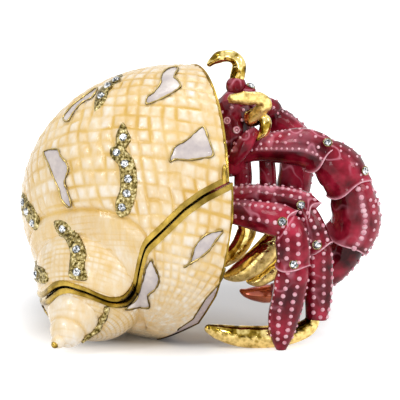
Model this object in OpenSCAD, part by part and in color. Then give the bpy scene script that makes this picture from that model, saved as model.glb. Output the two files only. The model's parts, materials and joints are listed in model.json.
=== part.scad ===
// Hermit crab trinket box: an enamelled whorled shell that opens on a hidden hinge,
// with the crab fixed to the lower half. Lengths in mm, +Z up, +X towards the crab,
// the side that is seen from the front faces -Y.

/* [Shell] */
// length of the large whorl along X
shell_l = 68.8; // [62:0.2:76]
// depth of the large whorl along Y
shell_d = 50; // [46:0.5:56]
// height of the large whorl before its foot is cut flat
shell_h = 60.8; // [56:0.2:66]
// length of the small whorl
whorl_l = 26; // [22:0.5:30]
// depth of the small whorl
whorl_d = 28; // [25:0.5:30]
// height of the small whorl
whorl_h = 29.6; // [26:0.2:33]
// thickness of the cast wall
wall = 1.8; // [1.4:0.1:2.6]
// thickness of the floor of the lower half
floor_t = 1.6; // [1.2:0.1:2.4]
// how much of the foot is cut off flat
foot_cut = 1; // [0.6:0.1:1.6]

/* [Spire] */
// diameter of the third whorl
spire_d = 13.8; // [12:0.2:15]
// diameter of the fourth whorl
spire_mid_d = 8.6; // [7.6:0.2:9.4]
// diameter of the tip
spire_tip_d = 3.8; // [3:0.1:4.4]

/* [Opening] */
// turn of the opening's plane towards the front, degrees
lip_yaw = 17; // [12:1:22]
// lean of the opening's plane above its middle, degrees
lip_pitch = 2; // [0:1:4]
// lean of the opening's plane below its middle, where the lip curls in
lip_low_pitch = 7.5; // [5:0.5:9]
// lean of the plane that rounds the lip's lowest corner
lip_curl_pitch = 39; // [34:1:42]
// how far the lid's lip stands back from the lower half's
lid_setback = 0.8; // [0.4:0.1:1.2]
// depth from the lip to the wall that closes the box
recess = 3; // [2:0.1:4.5]
// thickness of that wall
bulkhead_t = 1.6; // [1.2:0.1:2.4]
// width of the bright band along the lip
lip_band = 1.2; // [0.8:0.1:1.8]

/* [Seam] */
// lean of the seam and of the hinge axis, degrees
seam_tilt = 25; // [22:1:28]
// gap between the two rims, measured across the seam
seam_gap = 0.6; // [0.4:0.1:0.9]
// width of each bright rim
rim_w = 1.5; // [1:0.1:2]
// how far rims and bands stand out of the shell
rim_out = 0.35; // [0.2:0.05:0.5]

/* [Hinge] */
// length of the whole hinge
hinge_l = 11; // [9:0.5:12]
// turn of the hinge along the back of the shell, degrees
hinge_yaw = 15; // [12:1:18]
// diameter of the knuckles
knuckle_d = 3; // [2.6:0.1:3.6]
// diameter of the pin
pin_d = 1.2; // [1:0.05:1.5]
// radial clearance of the pin in the knuckle that turns
pin_clear = 0.05; // [0.03:0.01:0.08]
// gap between neighbouring knuckles
knuckle_gap = 0.3; // [0.2:0.05:0.5]
// height of each leaf
leaf_h = 6; // [5:0.5:8]
// thickness of each leaf
leaf_t = 1.1; // [0.9:0.1:1.4]

/* [Closure] */
// diameter of each magnet
magnet_d = 3; // [2.4:0.1:3.6]
// thickness of each magnet
magnet_t = 1.2; // [0.8:0.1:1.4]

/* [Trim] */
// thickness of the pearl inlays
inlay_t = 0.35; // [0.2:0.05:0.5]
// width of the wire round an inlay
wire_w = 0.45; // [0.3:0.05:0.7]
// thickness of the patches that carry crystals
patch_t = 0.6; // [0.4:0.05:0.8]
// diameter of a crystal
crystal_d = 1.6; // [1.2:0.1:2]
// height of a crystal
crystal_h = 0.9; // [0.7:0.1:1.2]

/* [Crab] */
// reach of the crab to the right, which its stations follow
crab_l = 78; // [74:1:82]
// depth that the crab's stations follow
crab_d = 52; // [49:1:55]
// height that the crab's stations follow
crab_h = 65; // [62:1:68]
// width that the limbs' radii follow
limb_w = 10; // [9:0.2:11]
// gap from the crab to the lid
crab_gap = 0.5; // [0.4:0.1:1]

/* [Hidden] */
// one overrun serves all cuts
over = 1;
// size of the blocks that cut at a plane
far = 120;
shell_facets = 34;
hollow_facets = 26;
spire_facets = 20;
round_facets = 14;
limb_sides = 10;
stone_sides = 6;
limb_depth_share = 0.9;

// the whole part is moved so that its box is centred on the origin
seat_shift = [0, -1.33, 0];
// left end of the shell and front to back middle of the large whorl
shell_left = -39.3;
shell_mid = 1.5;
body_at = [shell_left + shell_l / 2, shell_mid, shell_h / 2 - foot_cut];
body_size = [shell_l, shell_d, shell_h];
whorl_place_share = [-0.259, -0.21, -0.227];
whorl_at = on_shell(whorl_place_share);
whorl_size = [whorl_l, whorl_d, whorl_h];
// centres of the small whorls, as shares of the shell's sizes from its middle
spire_place_share = [-0.321, -0.38, -0.352];
spire_mid_place_share = [-0.345, -0.45, -0.408];
spire_tip_place_share = [-0.366, -0.52, -0.446];
// the opening's plane passes through this place
lip_place_share = [0.068, 0, 0.01];
lip_at = on_shell(lip_place_share);
// the plane that rounds the lip's lowest corner passes through this one
curl_place_share = [0.057, 0, -0.383];
curl_at = on_shell(curl_place_share);

// origin of the seam's own frame and the seam's course at the front,
// as shares of the shell's length and height
seam_place_share = [-0.142, 0, -0.122];
seam_at = [body_at[0] + seam_place_share[0] * shell_l, 0, body_at[2] + seam_place_share[2] * shell_h];
seam_course_shares = [
    [-0.60, -0.04], [-0.32, -0.03], [-0.265, 0], [-0.23, 0], [-0.175, -0.05], [-0.12, -0.125],
    [-0.08, -0.145], [-0.035, -0.12], [-0.01, -0.075], [0.02, -0.03], [0.05, 0.01],
    [0.125, 0.04], [0.21, 0.075], [0.285, 0.09], [0.70, 0.09]
];
seam_steps = 34;
seam_rows = 7;
seam_from_share = -0.5;
seam_to_share = 0.75;
seam_smooth_share = 0.012;
// share of the half depth at which the seam has run out level towards the hinge
seam_level_share = 0.72;

along = [cos(seam_tilt), 0, sin(seam_tilt)];
upward = [-sin(seam_tilt), 0, cos(seam_tilt)];
// the hinge's middle lies on the back of the shell, left of the opening
hinge_x_share = -0.035;
hinge_x = hinge_x_share * shell_l;
hinge_z = (body_at - seam_at) * upward;
hinge_at = seam_at + hinge_x * along + hinge_z * upward;
hinge_back = shell_mid + shell_d / 2 * sqrt(1 - pow((hinge_at[0] - body_at[0]) / shell_l * 2, 2)
    - pow((hinge_at[2] - body_at[2]) / shell_h * 2, 2));
hinge_y = rim_out + knuckle_gap + knuckle_d / 2;
mid_knuckle = 0.4 * hinge_l;

magnet_x_share = 0.13;
magnet_x = magnet_x_share * shell_l;
magnet_wall_gap = 0.9;
magnet_y = shell_mid - shell_d / 2 + wall + magnet_wall_gap + magnet_d / 2;
boss_d = magnet_d + 1.2 * wall;
boss_h = 4;

// outlines on the front of the lid, as shares of the shell's length and height from its middle
crown_shares = [
    [0, 0.496], [-0.03, 0.494], [-0.05, 0.48], [-0.055, 0.455], [-0.075, 0.43], [-0.095, 0.415],
    [-0.095, 0.395], [-0.055, 0.41], [-0.02, 0.428], [0.008, 0.448], [0, 0.465], [-0.012, 0.476]
];
fan_shares = [
    [-0.024, 0.212], [-0.016, 0.244], [-0.007, 0.261], [0.03, 0.284], [0.057, 0.31], [0.08, 0.323],
    [0.095, 0.287], [0.11, 0.233], [0.082, 0.223], [0.04, 0.217], [-0.004, 0.219]
];
flank_shares = [
    [-0.42, 0.208], [-0.377, 0.226], [-0.366, 0.207], [-0.348, 0.187], [-0.341, 0.164], [-0.352, 0.124],
    [-0.345, 0.097], [-0.332, 0.052], [-0.339, 0.037], [-0.361, 0.06], [-0.37, 0.093],
    [-0.388, 0.133], [-0.406, 0.176]
];
brow_shares = [
    [-0.36, 0.325], [-0.33, 0.365], [-0.293, 0.397], [-0.255, 0.425], [-0.268, 0.4], [-0.3, 0.379],
    [-0.325, 0.35], [-0.345, 0.318]
];
leaf_shares = [
    [0.02, -0.162], [0.04, -0.137], [0.053, -0.086], [0.082, -0.047], [0.117, -0.032], [0.14, -0.032],
    [0.117, -0.067], [0.1, -0.096], [0.07, -0.126], [0.04, -0.147]
];
fold_shares = [
    [-0.165, -0.318], [-0.131, -0.285], [-0.109, -0.216], [-0.1, -0.17], [-0.082, -0.135],
    [-0.075, -0.153], [-0.062, -0.187], [-0.058, -0.215], [-0.07, -0.247], [-0.093, -0.275],
    [-0.09, -0.321], [-0.131, -0.322]
];
lid_inlay_shares = [crown_shares, fan_shares, flank_shares, brow_shares];
base_inlay_shares = [leaf_shares, fold_shares];
lid_patch_shares = [
    [[-0.171, 0.334], [-0.153, 0.304], [-0.145, 0.281], [-0.16, 0.25], [-0.144, 0.228], [-0.133, 0.208],
     [-0.125, 0.156], [-0.128, 0.096], [-0.147, 0.035], [-0.171, 0.015], [-0.191, 0.032],
     [-0.191, 0.075], [-0.179, 0.112], [-0.179, 0.164], [-0.185, 0.198], [-0.207, 0.221],
     [-0.209, 0.248], [-0.193, 0.262], [-0.191, 0.295]],
    [[-0.175, 0.467], [-0.2, 0.458], [-0.252, 0.416], [-0.26, 0.361], [-0.228, 0.395],
     [-0.215, 0.428], [-0.191, 0.45]],
    [[-0.494, 0.045], [-0.477, 0.035], [-0.447, 0], [-0.437, -0.051], [-0.448, -0.07],
     [-0.468, -0.052], [-0.482, -0.034], [-0.494, -0.024]],
    [[-0.388, -0.022], [-0.357, -0.012], [-0.328, -0.03], [-0.298, -0.074], [-0.284, -0.115],
     [-0.289, -0.159], [-0.282, -0.206], [-0.335, -0.201], [-0.337, -0.161], [-0.335, -0.113],
     [-0.353, -0.075], [-0.374, -0.066]],
    [[-0.472, -0.242], [-0.455, -0.2], [-0.424, -0.185], [-0.405, -0.215], [-0.415, -0.238],
     [-0.446, -0.247]]
];
// places of the crystals on the lid, in the same shares
lid_crystal_shares = [
    [-0.168, 0.285], [-0.188, 0.235], [-0.163, 0.2], [-0.152, 0.15], [-0.156, 0.1], [-0.171, 0.052],
    [-0.193, 0.452], [-0.219, 0.434], [-0.239, 0.405],
    [-0.484, 0.02], [-0.471, -0.007], [-0.453, -0.043],
    [-0.357, -0.043], [-0.313, -0.105], [-0.312, -0.18],
    [-0.44, -0.218]
];

// stations of each limb: x, y and z as shares of the crab's length, depth and height,
// then the radius as a share of the limb width
claw_upper_shares = [
    [0.06, 0.035, 0.6, 0.25], [0.12, 0, 0.635, 0.29], [0.175, -0.03, 0.65, 0.32],
    [0.24, -0.06, 0.655, 0.38], [0.285, -0.075, 0.655, 0.42], [0.32, -0.075, 0.64, 0.43],
    [0.34, -0.075, 0.615, 0.43]
];
claw_elbow_shares = [
    [0.325, -0.075, 0.635, 0.34], [0.36, -0.07, 0.61, 0.47], [0.39, -0.065, 0.575, 0.53],
    [0.405, -0.06, 0.54, 0.51], [0.415, -0.06, 0.515, 0.5]
];
claw_hand_shares = [
    [0.41, -0.06, 0.54, 0.4], [0.425, -0.055, 0.5, 0.46], [0.43, -0.04, 0.46, 0.52],
    [0.435, -0.025, 0.42, 0.54], [0.43, -0.01, 0.37, 0.54], [0.41, 0, 0.33, 0.54]
];
claw_finger_shares = [
    [0.42, 0, 0.355, 0.36], [0.405, 0.015, 0.3, 0.43], [0.38, 0.03, 0.255, 0.42],
    [0.345, 0.045, 0.21, 0.38], [0.3, 0.06, 0.165, 0.32], [0.25, 0.06, 0.14, 0.26],
    [0.2, 0.06, 0.135, 0.23]
];
claw_tip_shares = [
    [0.235, 0.06, 0.14, 0.15], [0.195, 0.06, 0.135, 0.21], [0.16, 0.05, 0.135, 0.18],
    [0.13, 0.04, 0.14, 0.11], [0.11, 0.04, 0.15, 0.03]
];
far_upper_shares = [
    [0.14, 0.095, 0.745, 0.22], [0.17, 0.155, 0.755, 0.29], [0.19, 0.175, 0.74, 0.34],
    [0.2, 0.18, 0.725, 0.3], [0.225, 0.195, 0.695, 0.35], [0.265, 0.22, 0.65, 0.36],
    [0.275, 0.22, 0.615, 0.33]
];
far_hand_shares = [
    [0.27, 0.22, 0.635, 0.28], [0.275, 0.21, 0.6, 0.36], [0.27, 0.185, 0.54, 0.38],
    [0.26, 0.155, 0.48, 0.37], [0.25, 0.125, 0.42, 0.33], [0.24, 0.095, 0.365, 0.28]
];
inner_arm_shares = [
    [0.12, 0.025, 0.6, 0.17], [0.12, 0.03, 0.54, 0.2], [0.12, 0.02, 0.49, 0.19], [0.13, 0.01, 0.445, 0.22],
    [0.13, 0, 0.375, 0.18]
];
mid_arm_shares = [
    [0.185, 0.06, 0.61, 0.18], [0.19, 0.06, 0.53, 0.19], [0.19, 0.05, 0.47, 0.2],
    [0.205, 0.03, 0.415, 0.21], [0.215, 0, 0.365, 0.19]
];
pincer_front_shares = [
    [0.222, -0.005, 0.375, 0.19], [0.207, -0.04, 0.335, 0.26], [0.18, -0.06, 0.295, 0.28],
    [0.14, -0.075, 0.252, 0.26], [0.1, -0.075, 0.225, 0.2], [0.062, -0.075, 0.213, 0.05]
];
pincer_low_shares = [
    [0.218, 0.055, 0.345, 0.17], [0.235, 0.065, 0.28, 0.22], [0.222, 0.04, 0.238, 0.23],
    [0.19, 0.02, 0.21, 0.2], [0.16, 0, 0.19, 0.15], [0.128, 0, 0.186, 0.04]
];
pincer_top_shares = [
    [0.04, -0.045, 0.45, 0.16], [0.105, -0.045, 0.425, 0.18], [0.13, -0.04, 0.378, 0.2],
    [0.117, -0.02, 0.325, 0.21], [0.09, 0, 0.275, 0.17], [0.062, 0, 0.235, 0.04]
];
back_leg_upper_shares = [
    [0.04, -0.06, 0.48, 0.22], [0.115, -0.135, 0.495, 0.25], [0.195, -0.175, 0.495, 0.29],
    [0.275, -0.21, 0.48, 0.31], [0.31, -0.23, 0.455, 0.27]
];
back_leg_knee_shares = [
    [0.28, -0.23, 0.475, 0.22], [0.295, -0.23, 0.44, 0.28], [0.31, -0.23, 0.39, 0.33],
    [0.325, -0.23, 0.335, 0.33]
];
back_leg_shin_shares = [
    [0.325, -0.23, 0.355, 0.24], [0.326, -0.23, 0.32, 0.32], [0.328, -0.23, 0.24, 0.31],
    [0.327, -0.23, 0.155, 0.285], [0.322, -0.23, 0.095, 0.23]
];
toe_shares = [
    [0.318, -0.23, 0.115, 0.13], [0.3, -0.235, 0.07, 0.19], [0.25, -0.24, 0.044, 0.22],
    [0.18, -0.245, 0.036, 0.25], [0.11, -0.255, 0.04, 0.235], [0.05, -0.275, 0.058, 0.17],
    [0.012, -0.3, 0.078, 0.07]
];
front_leg_upper_shares = [
    [0.03, -0.12, 0.45, 0.22], [0.09, -0.21, 0.455, 0.27], [0.155, -0.27, 0.45, 0.33],
    [0.22, -0.31, 0.44, 0.36], [0.25, -0.325, 0.43, 0.30]
];
front_leg_knee_shares = [
    [0.235, -0.325, 0.445, 0.23], [0.25, -0.335, 0.41, 0.33], [0.255, -0.345, 0.35, 0.38],
    [0.255, -0.345, 0.29, 0.36]
];
front_leg_shin_shares = [
    [0.255, -0.345, 0.31, 0.26], [0.255, -0.345, 0.27, 0.35], [0.244, -0.335, 0.2, 0.36],
    [0.229, -0.315, 0.105, 0.33], [0.2245, -0.3, 0.042, 0.23], [0.2235, -0.29, -0.008, 0.08]
];
cheek_shares = [
    [0.155, -0.085, 0.72, 0.07], [0.135, -0.095, 0.69, 0.17], [0.11, -0.095, 0.645, 0.19],
    [0.085, -0.085, 0.605, 0.12]
];
high_feeler_shares = [
    [0.098, 0.095, 0.84, 0.15], [0.105, 0.095, 0.88, 0.17], [0.108, 0.095, 0.915, 0.16],
    [0.09, 0.095, 0.941, 0.14], [0.06, 0.095, 0.943, 0.13], [0.036, 0.095, 0.928, 0.1],
    [0.019, 0.095, 0.91, 0.05]
];
low_feeler_shares = [
    [0.14, -0.075, 0.745, 0.13], [0.16, -0.095, 0.775, 0.15], [0.18, -0.115, 0.805, 0.15],
    [0.16, -0.115, 0.825, 0.15], [0.12, -0.115, 0.825, 0.14], [0.075, -0.115, 0.825, 0.11]
];
jaw_shares = [
    [0.16, -0.08, 0.76, 0.10], [0.18, -0.095, 0.745, 0.13], [0.175, -0.095, 0.71, 0.12],
    [0.155, -0.095, 0.68, 0.03]
];
// centre and radius shares of the round parts
thorax_place_share = [0.02, -0.02, 0.455];
thorax_size_share = [0.14, 0.4, 0.34];
carapace_place_share = [0.085, 0.06, 0.68];
carapace_size_share = [0.13, 0.31, 0.29];
cup_shares = [0.145, -0.075, 0.755, 0.20];
eye_share = [0.1, 0.095, 0.84, 0.21];
// from the first eye joint to the second, and the second's radius, as shares of the limb width
eye_step_share = [0.27, -0.1, -0.1, 0.17];
// crystals on the crab: station, radius share of the limb there, and outward direction
crab_crystal_shares = [
    [[0.275, -0.21, 0.48, 0.31], [0.1, -1, 0.1]],
    [[0.322, -0.23, 0.35, 0.34], [0, -1, 0.1]],
    [[0.225, -0.312, 0.44, 0.36], [0, -1, 0.1]],
    [[0.257, -0.345, 0.305, 0.37], [0, -1, 0.05]],
    [[0.345, -0.075, 0.64, 0.46], [0.15, -0.75, 0.6]],
    [[0.415, -0.06, 0.575, 0.53], [0.7, -0.7, 0.1]],
    [second_eye(), [0.4, -0.3, 1]]
];
stone_sink = 0.35;
stone_clear = 0.05;
seat_floor = 0.15;

enamel = [0.96, 0.89, 0.72];
gold = [0.83, 0.66, 0.25];
maroon = [0.5, 0.1, 0.2];
pearl = [0.85, 0.83, 0.88];
glass = [0.92, 0.95, 0.98];
steel = [0.7, 0.7, 0.72];
copper = [0.65, 0.25, 0.15];

// Shared forms

// keeps a piece as one faceted solid
module meshed() {
    resize([0, 0, 0]) children();
}

module seated() {
    translate(seat_shift) children();
}

module ellipsoid(at, size, grow, facets) {
    half = size / 2 + [grow, grow, grow];
    translate(at) scale(half) sphere(r = 1, $fn = facets);
}

module above(z) {
    translate([-far, -far, z]) cube([2 * far, 2 * far, far]);
}

// the closed outer form of the shell, grown by a given amount and standing on its foot
module shell_form(grow) {
    intersection() {
        union() {
            ellipsoid(body_at, body_size, grow, shell_facets);
            ellipsoid(whorl_at, whorl_size, grow, shell_facets);
        }
        above(0);
    }
}

function on_shell(share) = body_at + [for (i = [0:2]) share[i] * body_size[i]];

// everything on the crab's side of the opening's bent plane, moved along its normal
module past_lip(shift) {
    for (pitch = [lip_pitch, lip_low_pitch])
        translate(lip_at) rotate([0, pitch, lip_yaw]) beyond(shift);
    translate(curl_at) rotate([0, lip_curl_pitch, 0]) beyond(shift);
}

module beyond(shift) {
    translate([shift, -far, -far]) cube([far, 2 * far, 2 * far]);
}

module past_lid_lip(shift) {
    past_lip(shift - lid_setback);
}

module hollow() {
    difference() {
        intersection() {
            union() {
                ellipsoid(body_at, body_size, -wall, hollow_facets);
                ellipsoid(whorl_at, whorl_size, -wall, hollow_facets);
            }
            above(floor_t);
        }
        difference() {
            past_lip(-recess - bulkhead_t);
            past_lip(-recess);
        }
    }
}

module in_seam() {
    translate(seam_at) rotate([0, -seam_tilt, 0]) children();
}

function smooth(t) = t <= 0 ? 0 : t >= 1 ? 1 : t * t * (3 - 2 * t);
function course(s) = (lookup(s - seam_smooth_share, seam_course_shares)
    + 2 * lookup(s, seam_course_shares) + lookup(s + seam_smooth_share, seam_course_shares)) / 4;
// height of the seam in its own frame: wavy at the front, level at the hinge
function seam_z(x, y) = hinge_z + (course(x / shell_l) * shell_h - hinge_z)
    * (1 - smooth((y - shell_mid) / (seam_level_share * shell_d / 2)));
function seam_x(i) = shell_l * (seam_from_share + (seam_to_share - seam_from_share) * i / seam_steps);
function seam_y(j) = j == 0 ? -far : j == seam_rows ? far
    : shell_mid + (j - 1) / (seam_rows - 2) * seam_level_share * shell_d / 2;

// everything above the seam, moved up by a given amount
module above_seam(shift) {
    n = seam_rows + 1;
    low = [for (i = [0:seam_steps]) for (j = [0:seam_rows])
        [seam_x(i), seam_y(j), seam_z(seam_x(i), seam_y(j)) + shift]];
    high = [for (p = low) [p[0], p[1], far]];
    m = len(low);
    in_seam() polyhedron(
        points = concat(low, high),
        faces = concat(
            [for (i = [0:seam_steps - 1]) for (j = [0:seam_rows - 1]) each [
                [i * n + j, (i + 1) * n + j, i * n + j + 1],
                [(i + 1) * n + j, (i + 1) * n + j + 1, i * n + j + 1],
                [m + i * n + j, m + i * n + j + 1, m + (i + 1) * n + j],
                [m + (i + 1) * n + j, m + i * n + j + 1, m + (i + 1) * n + j + 1]
            ]],
            [for (i = [0:seam_steps - 1]) each [
                [i * n, m + i * n, (i + 1) * n],
                [(i + 1) * n, m + i * n, m + (i + 1) * n],
                [i * n + seam_rows, (i + 1) * n + seam_rows, m + i * n + seam_rows],
                [(i + 1) * n + seam_rows, m + (i + 1) * n + seam_rows, m + i * n + seam_rows]
            ]],
            [for (j = [0:seam_rows - 1]) each [
                [j, j + 1, m + j],
                [j + 1, m + j + 1, m + j],
                [seam_steps * n + j, m + seam_steps * n + j, seam_steps * n + j + 1],
                [seam_steps * n + j + 1, m + seam_steps * n + j, m + seam_steps * n + j + 1]
            ]]
        ));
}

// Hinge forms, drawn in the seam's frame about the hinge's middle

module at_hinge() {
    in_seam() translate([hinge_x, hinge_back, hinge_z]) rotate([0, 0, hinge_yaw]) children();
}

// side is 1 for the lid's leaf and -1 for the lower half's
module leaf_block(side) {
    low = side > 0 ? seam_gap / 2 : -seam_gap / 2 - leaf_h;
    at_hinge() translate([-hinge_l / 2, -leaf_t, low]) cube([hinge_l, leaf_t, leaf_h]);
}

// the recess for a leaf runs out of the shell and into the seam's gap
module leaf_recess(side) {
    low = side > 0 ? 0 : -seam_gap / 2 - leaf_h;
    at_hinge() translate([-hinge_l / 2, -leaf_t, low]) cube([hinge_l, leaf_t + over, leaf_h + seam_gap / 2]);
}

// Trim forms

module outline_prism(shares, grow) {
    translate([body_at[0], 0, body_at[2]]) rotate([90, 0, 0]) translate([0, 0, -shell_mid])
        linear_extrude(far) offset(delta = grow)
            polygon([for (p = shares) [p[0] * shell_l, p[1] * shell_h]]);
}

module skin(thick) {
    difference() {
        shell_form(thick);
        shell_form(0);
    }
}

module on_lid() {
    difference() {
        intersection() {
            children();
            above_seam(seam_gap / 2 + rim_w);
        }
        past_lid_lip(-lip_band);
    }
}

module on_base() {
    difference() {
        children();
        above_seam(-seam_gap / 2 - rim_w);
        past_lip(-lip_band);
    }
}

function dip(p, at, size) = 1 - pow((p[0] - at[0]) / size[0] * 2, 2) - pow((p[1] - at[2]) / size[2] * 2, 2);
function front_y(p, at, size) = at[1] - size[1] / 2 * sqrt(max(0, dip(p, at, size)));
function on_whorl(p) = dip(p, whorl_at, whorl_size) > 0
    && front_y(p, whorl_at, whorl_size) < front_y(p, body_at, body_size);
function unit(v) = v / norm(v);
function lean(q, at, size) = unit([for (i = [0:2]) (q[i] - at[i]) / pow(size[i] / 2, 2)]);
// place and outward direction of a crystal on the front of the shell
function crystal_seat(s) =
    let (p = [body_at[0] + s[0] * shell_l, body_at[2] + s[1] * shell_h], w = on_whorl(p),
         at = w ? whorl_at : body_at, size = w ? whorl_size : body_size,
         q = [p[0], front_y(p, at, size), p[1]])
    [q, lean(q, at, size)];

module facing(at, dir) {
    d = unit(dir);
    translate(at) rotate([0, acos(d[2]), atan2(d[1], d[0])]) children();
}

module crystal() {
    girdle = 0.45 * crystal_h;
    cylinder(h = girdle, d = crystal_d, $fn = stone_sides);
    translate([0, 0, girdle]) cylinder(h = crystal_h - girdle, d1 = crystal_d,
        d2 = 0.55 * crystal_d, $fn = stone_sides);
}

module crystal_seat_cut() {
    cylinder(h = 2 * crystal_h, d = crystal_d + 2 * stone_clear, $fn = stone_sides);
}

// Limb forms

function place(s) = [s[0] * crab_l, s[1] * crab_d, s[2] * crab_h];
function cross_axis(t) = unit([0, 1, 0] - t * t[1]);
function tangent(pts, i) = unit(pts[min(i + 1, len(pts) - 1)] - pts[max(i - 1, 0)]);

// a limb segment lofted through its stations
module limb(shares) {
    pts = [for (s = shares) place(s)];
    n = limb_sides;
    last = len(pts) - 1;
    rings = [for (i = [0:last]) let (t = tangent(pts, i), deep = cross_axis(t), wide = cross(deep, t),
            r = shares[i][3] * limb_w)
        for (k = [0:n - 1]) let (a = 360 * k / n)
            pts[i] + r * (cos(a) * wide + limb_depth_share * sin(a) * deep)];
    intersection() {
        polyhedron(
            points = rings,
            faces = concat(
                [[for (k = [0:n - 1]) k]],
                [for (i = [0:last - 1]) for (k = [0:n - 1]) let (a = i * n + k, b = i * n + (k + 1) % n)
                    each [[a, a + n, b], [b, a + n, b + n]]],
                [[for (k = [n - 1:-1:0]) last * n + k]]
            ));
        above(0);
    }
}

module knob(s) {
    translate(place(s)) sphere(r = s[3] * limb_w, $fn = round_facets);
}

module crab_round(place_share, size_share) {
    ellipsoid(place(place_share), place(size_share), 0, spire_facets);
}

module crab_stone_frames() {
    for (c = crab_crystal_shares) {
        d = unit(c[1]);
        facing(place(c[0]) + d * (c[0][3] * limb_w * limb_depth_share - stone_sink), d) children();
    }
}

module crab_stone_seats() {
    crab_stone_frames() crystal_seat_cut();
}

module thorax_form() {
    difference() {
        intersection() {
            crab_round(thorax_place_share, thorax_size_share);
            past_lip(-recess);
        }
        difference() {
            above_seam(-seam_gap / 2 - crab_gap);
            past_lip(-recess + crab_gap);
        }
    }
}

module carapace_form() {
    intersection() {
        crab_round(carapace_place_share, carapace_size_share);
        past_lip(rim_out + crab_gap);
    }
}

// Shell pieces

module lid_shell() color(enamel) seated() meshed() {
    difference() {
        union() {
            difference() {
                intersection() {
                    shell_form(0);
                    above_seam(seam_gap / 2 + rim_w);
                }
                hollow();
                past_lid_lip(-lip_band);
            }
            difference() {
                intersection() {
                    shell_form(-wall / 2);
                    in_seam() translate([magnet_x, magnet_y, magnet_top()])
                        cylinder(h = boss_h, d = boss_d, $fn = hollow_facets);
                }
                past_lid_lip(-lip_band);
            }
        }
        leaf_recess(1);
    }
}

module base_shell() color(enamel) seated() meshed() {
    difference() {
        union() {
            difference() {
                shell_form(0);
                hollow();
                above_seam(-seam_gap / 2 - rim_w);
                past_lip(-lip_band);
            }
            intersection() {
                shell_form(-wall / 2);
                in_seam() translate([magnet_x, magnet_y, magnet_bottom() - boss_h])
                    cylinder(h = boss_h, d = boss_d, $fn = hollow_facets);
            }
        }
        leaf_recess(-1);
    }
}

// the bosses stop where the rims begin, and the magnets sit on them
function magnet_top() = seam_z(magnet_x + boss_d / 2, 0) + seam_gap / 2 + rim_w;
function magnet_bottom() = seam_z(magnet_x - boss_d / 2, 0) - seam_gap / 2 - rim_w;

module lid_magnet() color(steel) seated() {
    in_seam() translate([magnet_x, magnet_y, magnet_top() - magnet_t])
        cylinder(h = magnet_t, d = magnet_d, $fn = hollow_facets);
}

module base_magnet() color(steel) seated() {
    in_seam() translate([magnet_x, magnet_y, magnet_bottom()])
        cylinder(h = magnet_t, d = magnet_d, $fn = hollow_facets);
}

module lid_rim() color(gold) seated() meshed() {
    difference() {
        intersection() {
            shell_form(rim_out);
            above_seam(seam_gap / 2);
        }
        above_seam(seam_gap / 2 + rim_w);
        hollow();
        past_lid_lip(-lip_band);
        leaf_recess(1);
    }
}

module base_rim() color(gold) seated() meshed() {
    difference() {
        intersection() {
            shell_form(rim_out);
            above_seam(-seam_gap / 2 - rim_w);
        }
        above_seam(-seam_gap / 2);
        hollow();
        past_lip(-lip_band);
        leaf_recess(-1);
    }
}

module lid_lip() color(gold) seated() meshed() {
    difference() {
        intersection() {
            shell_form(rim_out);
            above_seam(seam_gap / 2);
            past_lid_lip(-lip_band);
        }
        hollow();
        past_lid_lip(0);
    }
}

module base_lip() color(gold) seated() meshed() {
    difference() {
        intersection() {
            shell_form(rim_out);
            past_lip(-lip_band);
        }
        above_seam(-seam_gap / 2);
        hollow();
        past_lip(0);
    }
}

module spire_whorls() {
    translate(on_shell(spire_place_share)) sphere(d = spire_d, $fn = spire_facets);
    translate(on_shell(spire_mid_place_share)) sphere(d = spire_mid_d, $fn = round_facets);
}

module spire() color(enamel) seated() meshed() {
    difference() {
        spire_whorls();
        shell_form(0);
        above_seam(-seam_gap / 2 - rim_w);
        mirror([0, 0, 1]) above(0);
    }
}

module spire_tip() color(gold) seated() meshed() {
    difference() {
        translate(on_shell(spire_tip_place_share)) sphere(d = spire_tip_d, $fn = round_facets);
        spire_whorls();
        mirror([0, 0, 1]) above(0);
    }
}

// Hinge pieces

module knuckle(from, long) {
    at_hinge() translate([from, hinge_y, 0]) rotate([0, 90, 0])
        cylinder(h = long, d = knuckle_d, $fn = hollow_facets);
}

// the web that ties a knuckle to its leaf
module web(from, long, side) {
    low = side > 0 ? seam_gap / 2 : -knuckle_d / 2;
    at_hinge() translate([from, -leaf_t, low]) cube([long, hinge_y + leaf_t, knuckle_d / 2 - seam_gap / 2]);
}

module pin_bore(clear) {
    at_hinge() translate([-hinge_l / 2 - over, hinge_y, 0]) rotate([0, 90, 0])
        cylinder(h = hinge_l + 2 * over, d = pin_d + 2 * clear, $fn = hollow_facets);
}

module lid_hinge() color(gold) seated() {
    from = -mid_knuckle / 2;
    difference() {
        union() {
            leaf_block(1);
            web(from, mid_knuckle, 1);
            knuckle(from, mid_knuckle);
        }
        pin_bore(pin_clear);
    }
}

module base_hinge() color(gold) seated() {
    long = (hinge_l - mid_knuckle) / 2 - knuckle_gap;
    difference() {
        union() {
            leaf_block(-1);
            for (from = [-hinge_l / 2, hinge_l / 2 - long]) {
                web(from, long, -1);
                knuckle(from, long);
            }
        }
        pin_bore(0);
    }
}

module hinge_pin() color(steel) seated() {
    at_hinge() translate([-hinge_l / 2, hinge_y, 0]) rotate([0, 90, 0])
        cylinder(h = hinge_l, d = pin_d, $fn = hollow_facets);
}

// Trim pieces

module lid_inlays() color(pearl) seated() meshed() {
    on_lid() intersection() {
        skin(inlay_t);
        for (s = lid_inlay_shares) outline_prism(s, 0);
    }
}

module lid_inlay_wires() color(gold) seated() meshed() {
    on_lid() difference() {
        intersection() {
            skin(inlay_t);
            for (s = lid_inlay_shares) outline_prism(s, wire_w);
        }
        for (s = lid_inlay_shares) outline_prism(s, 0);
    }
}

module base_inlays() color(pearl) seated() meshed() {
    on_base() intersection() {
        skin(inlay_t);
        for (s = base_inlay_shares) outline_prism(s, 0);
    }
}

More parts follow.
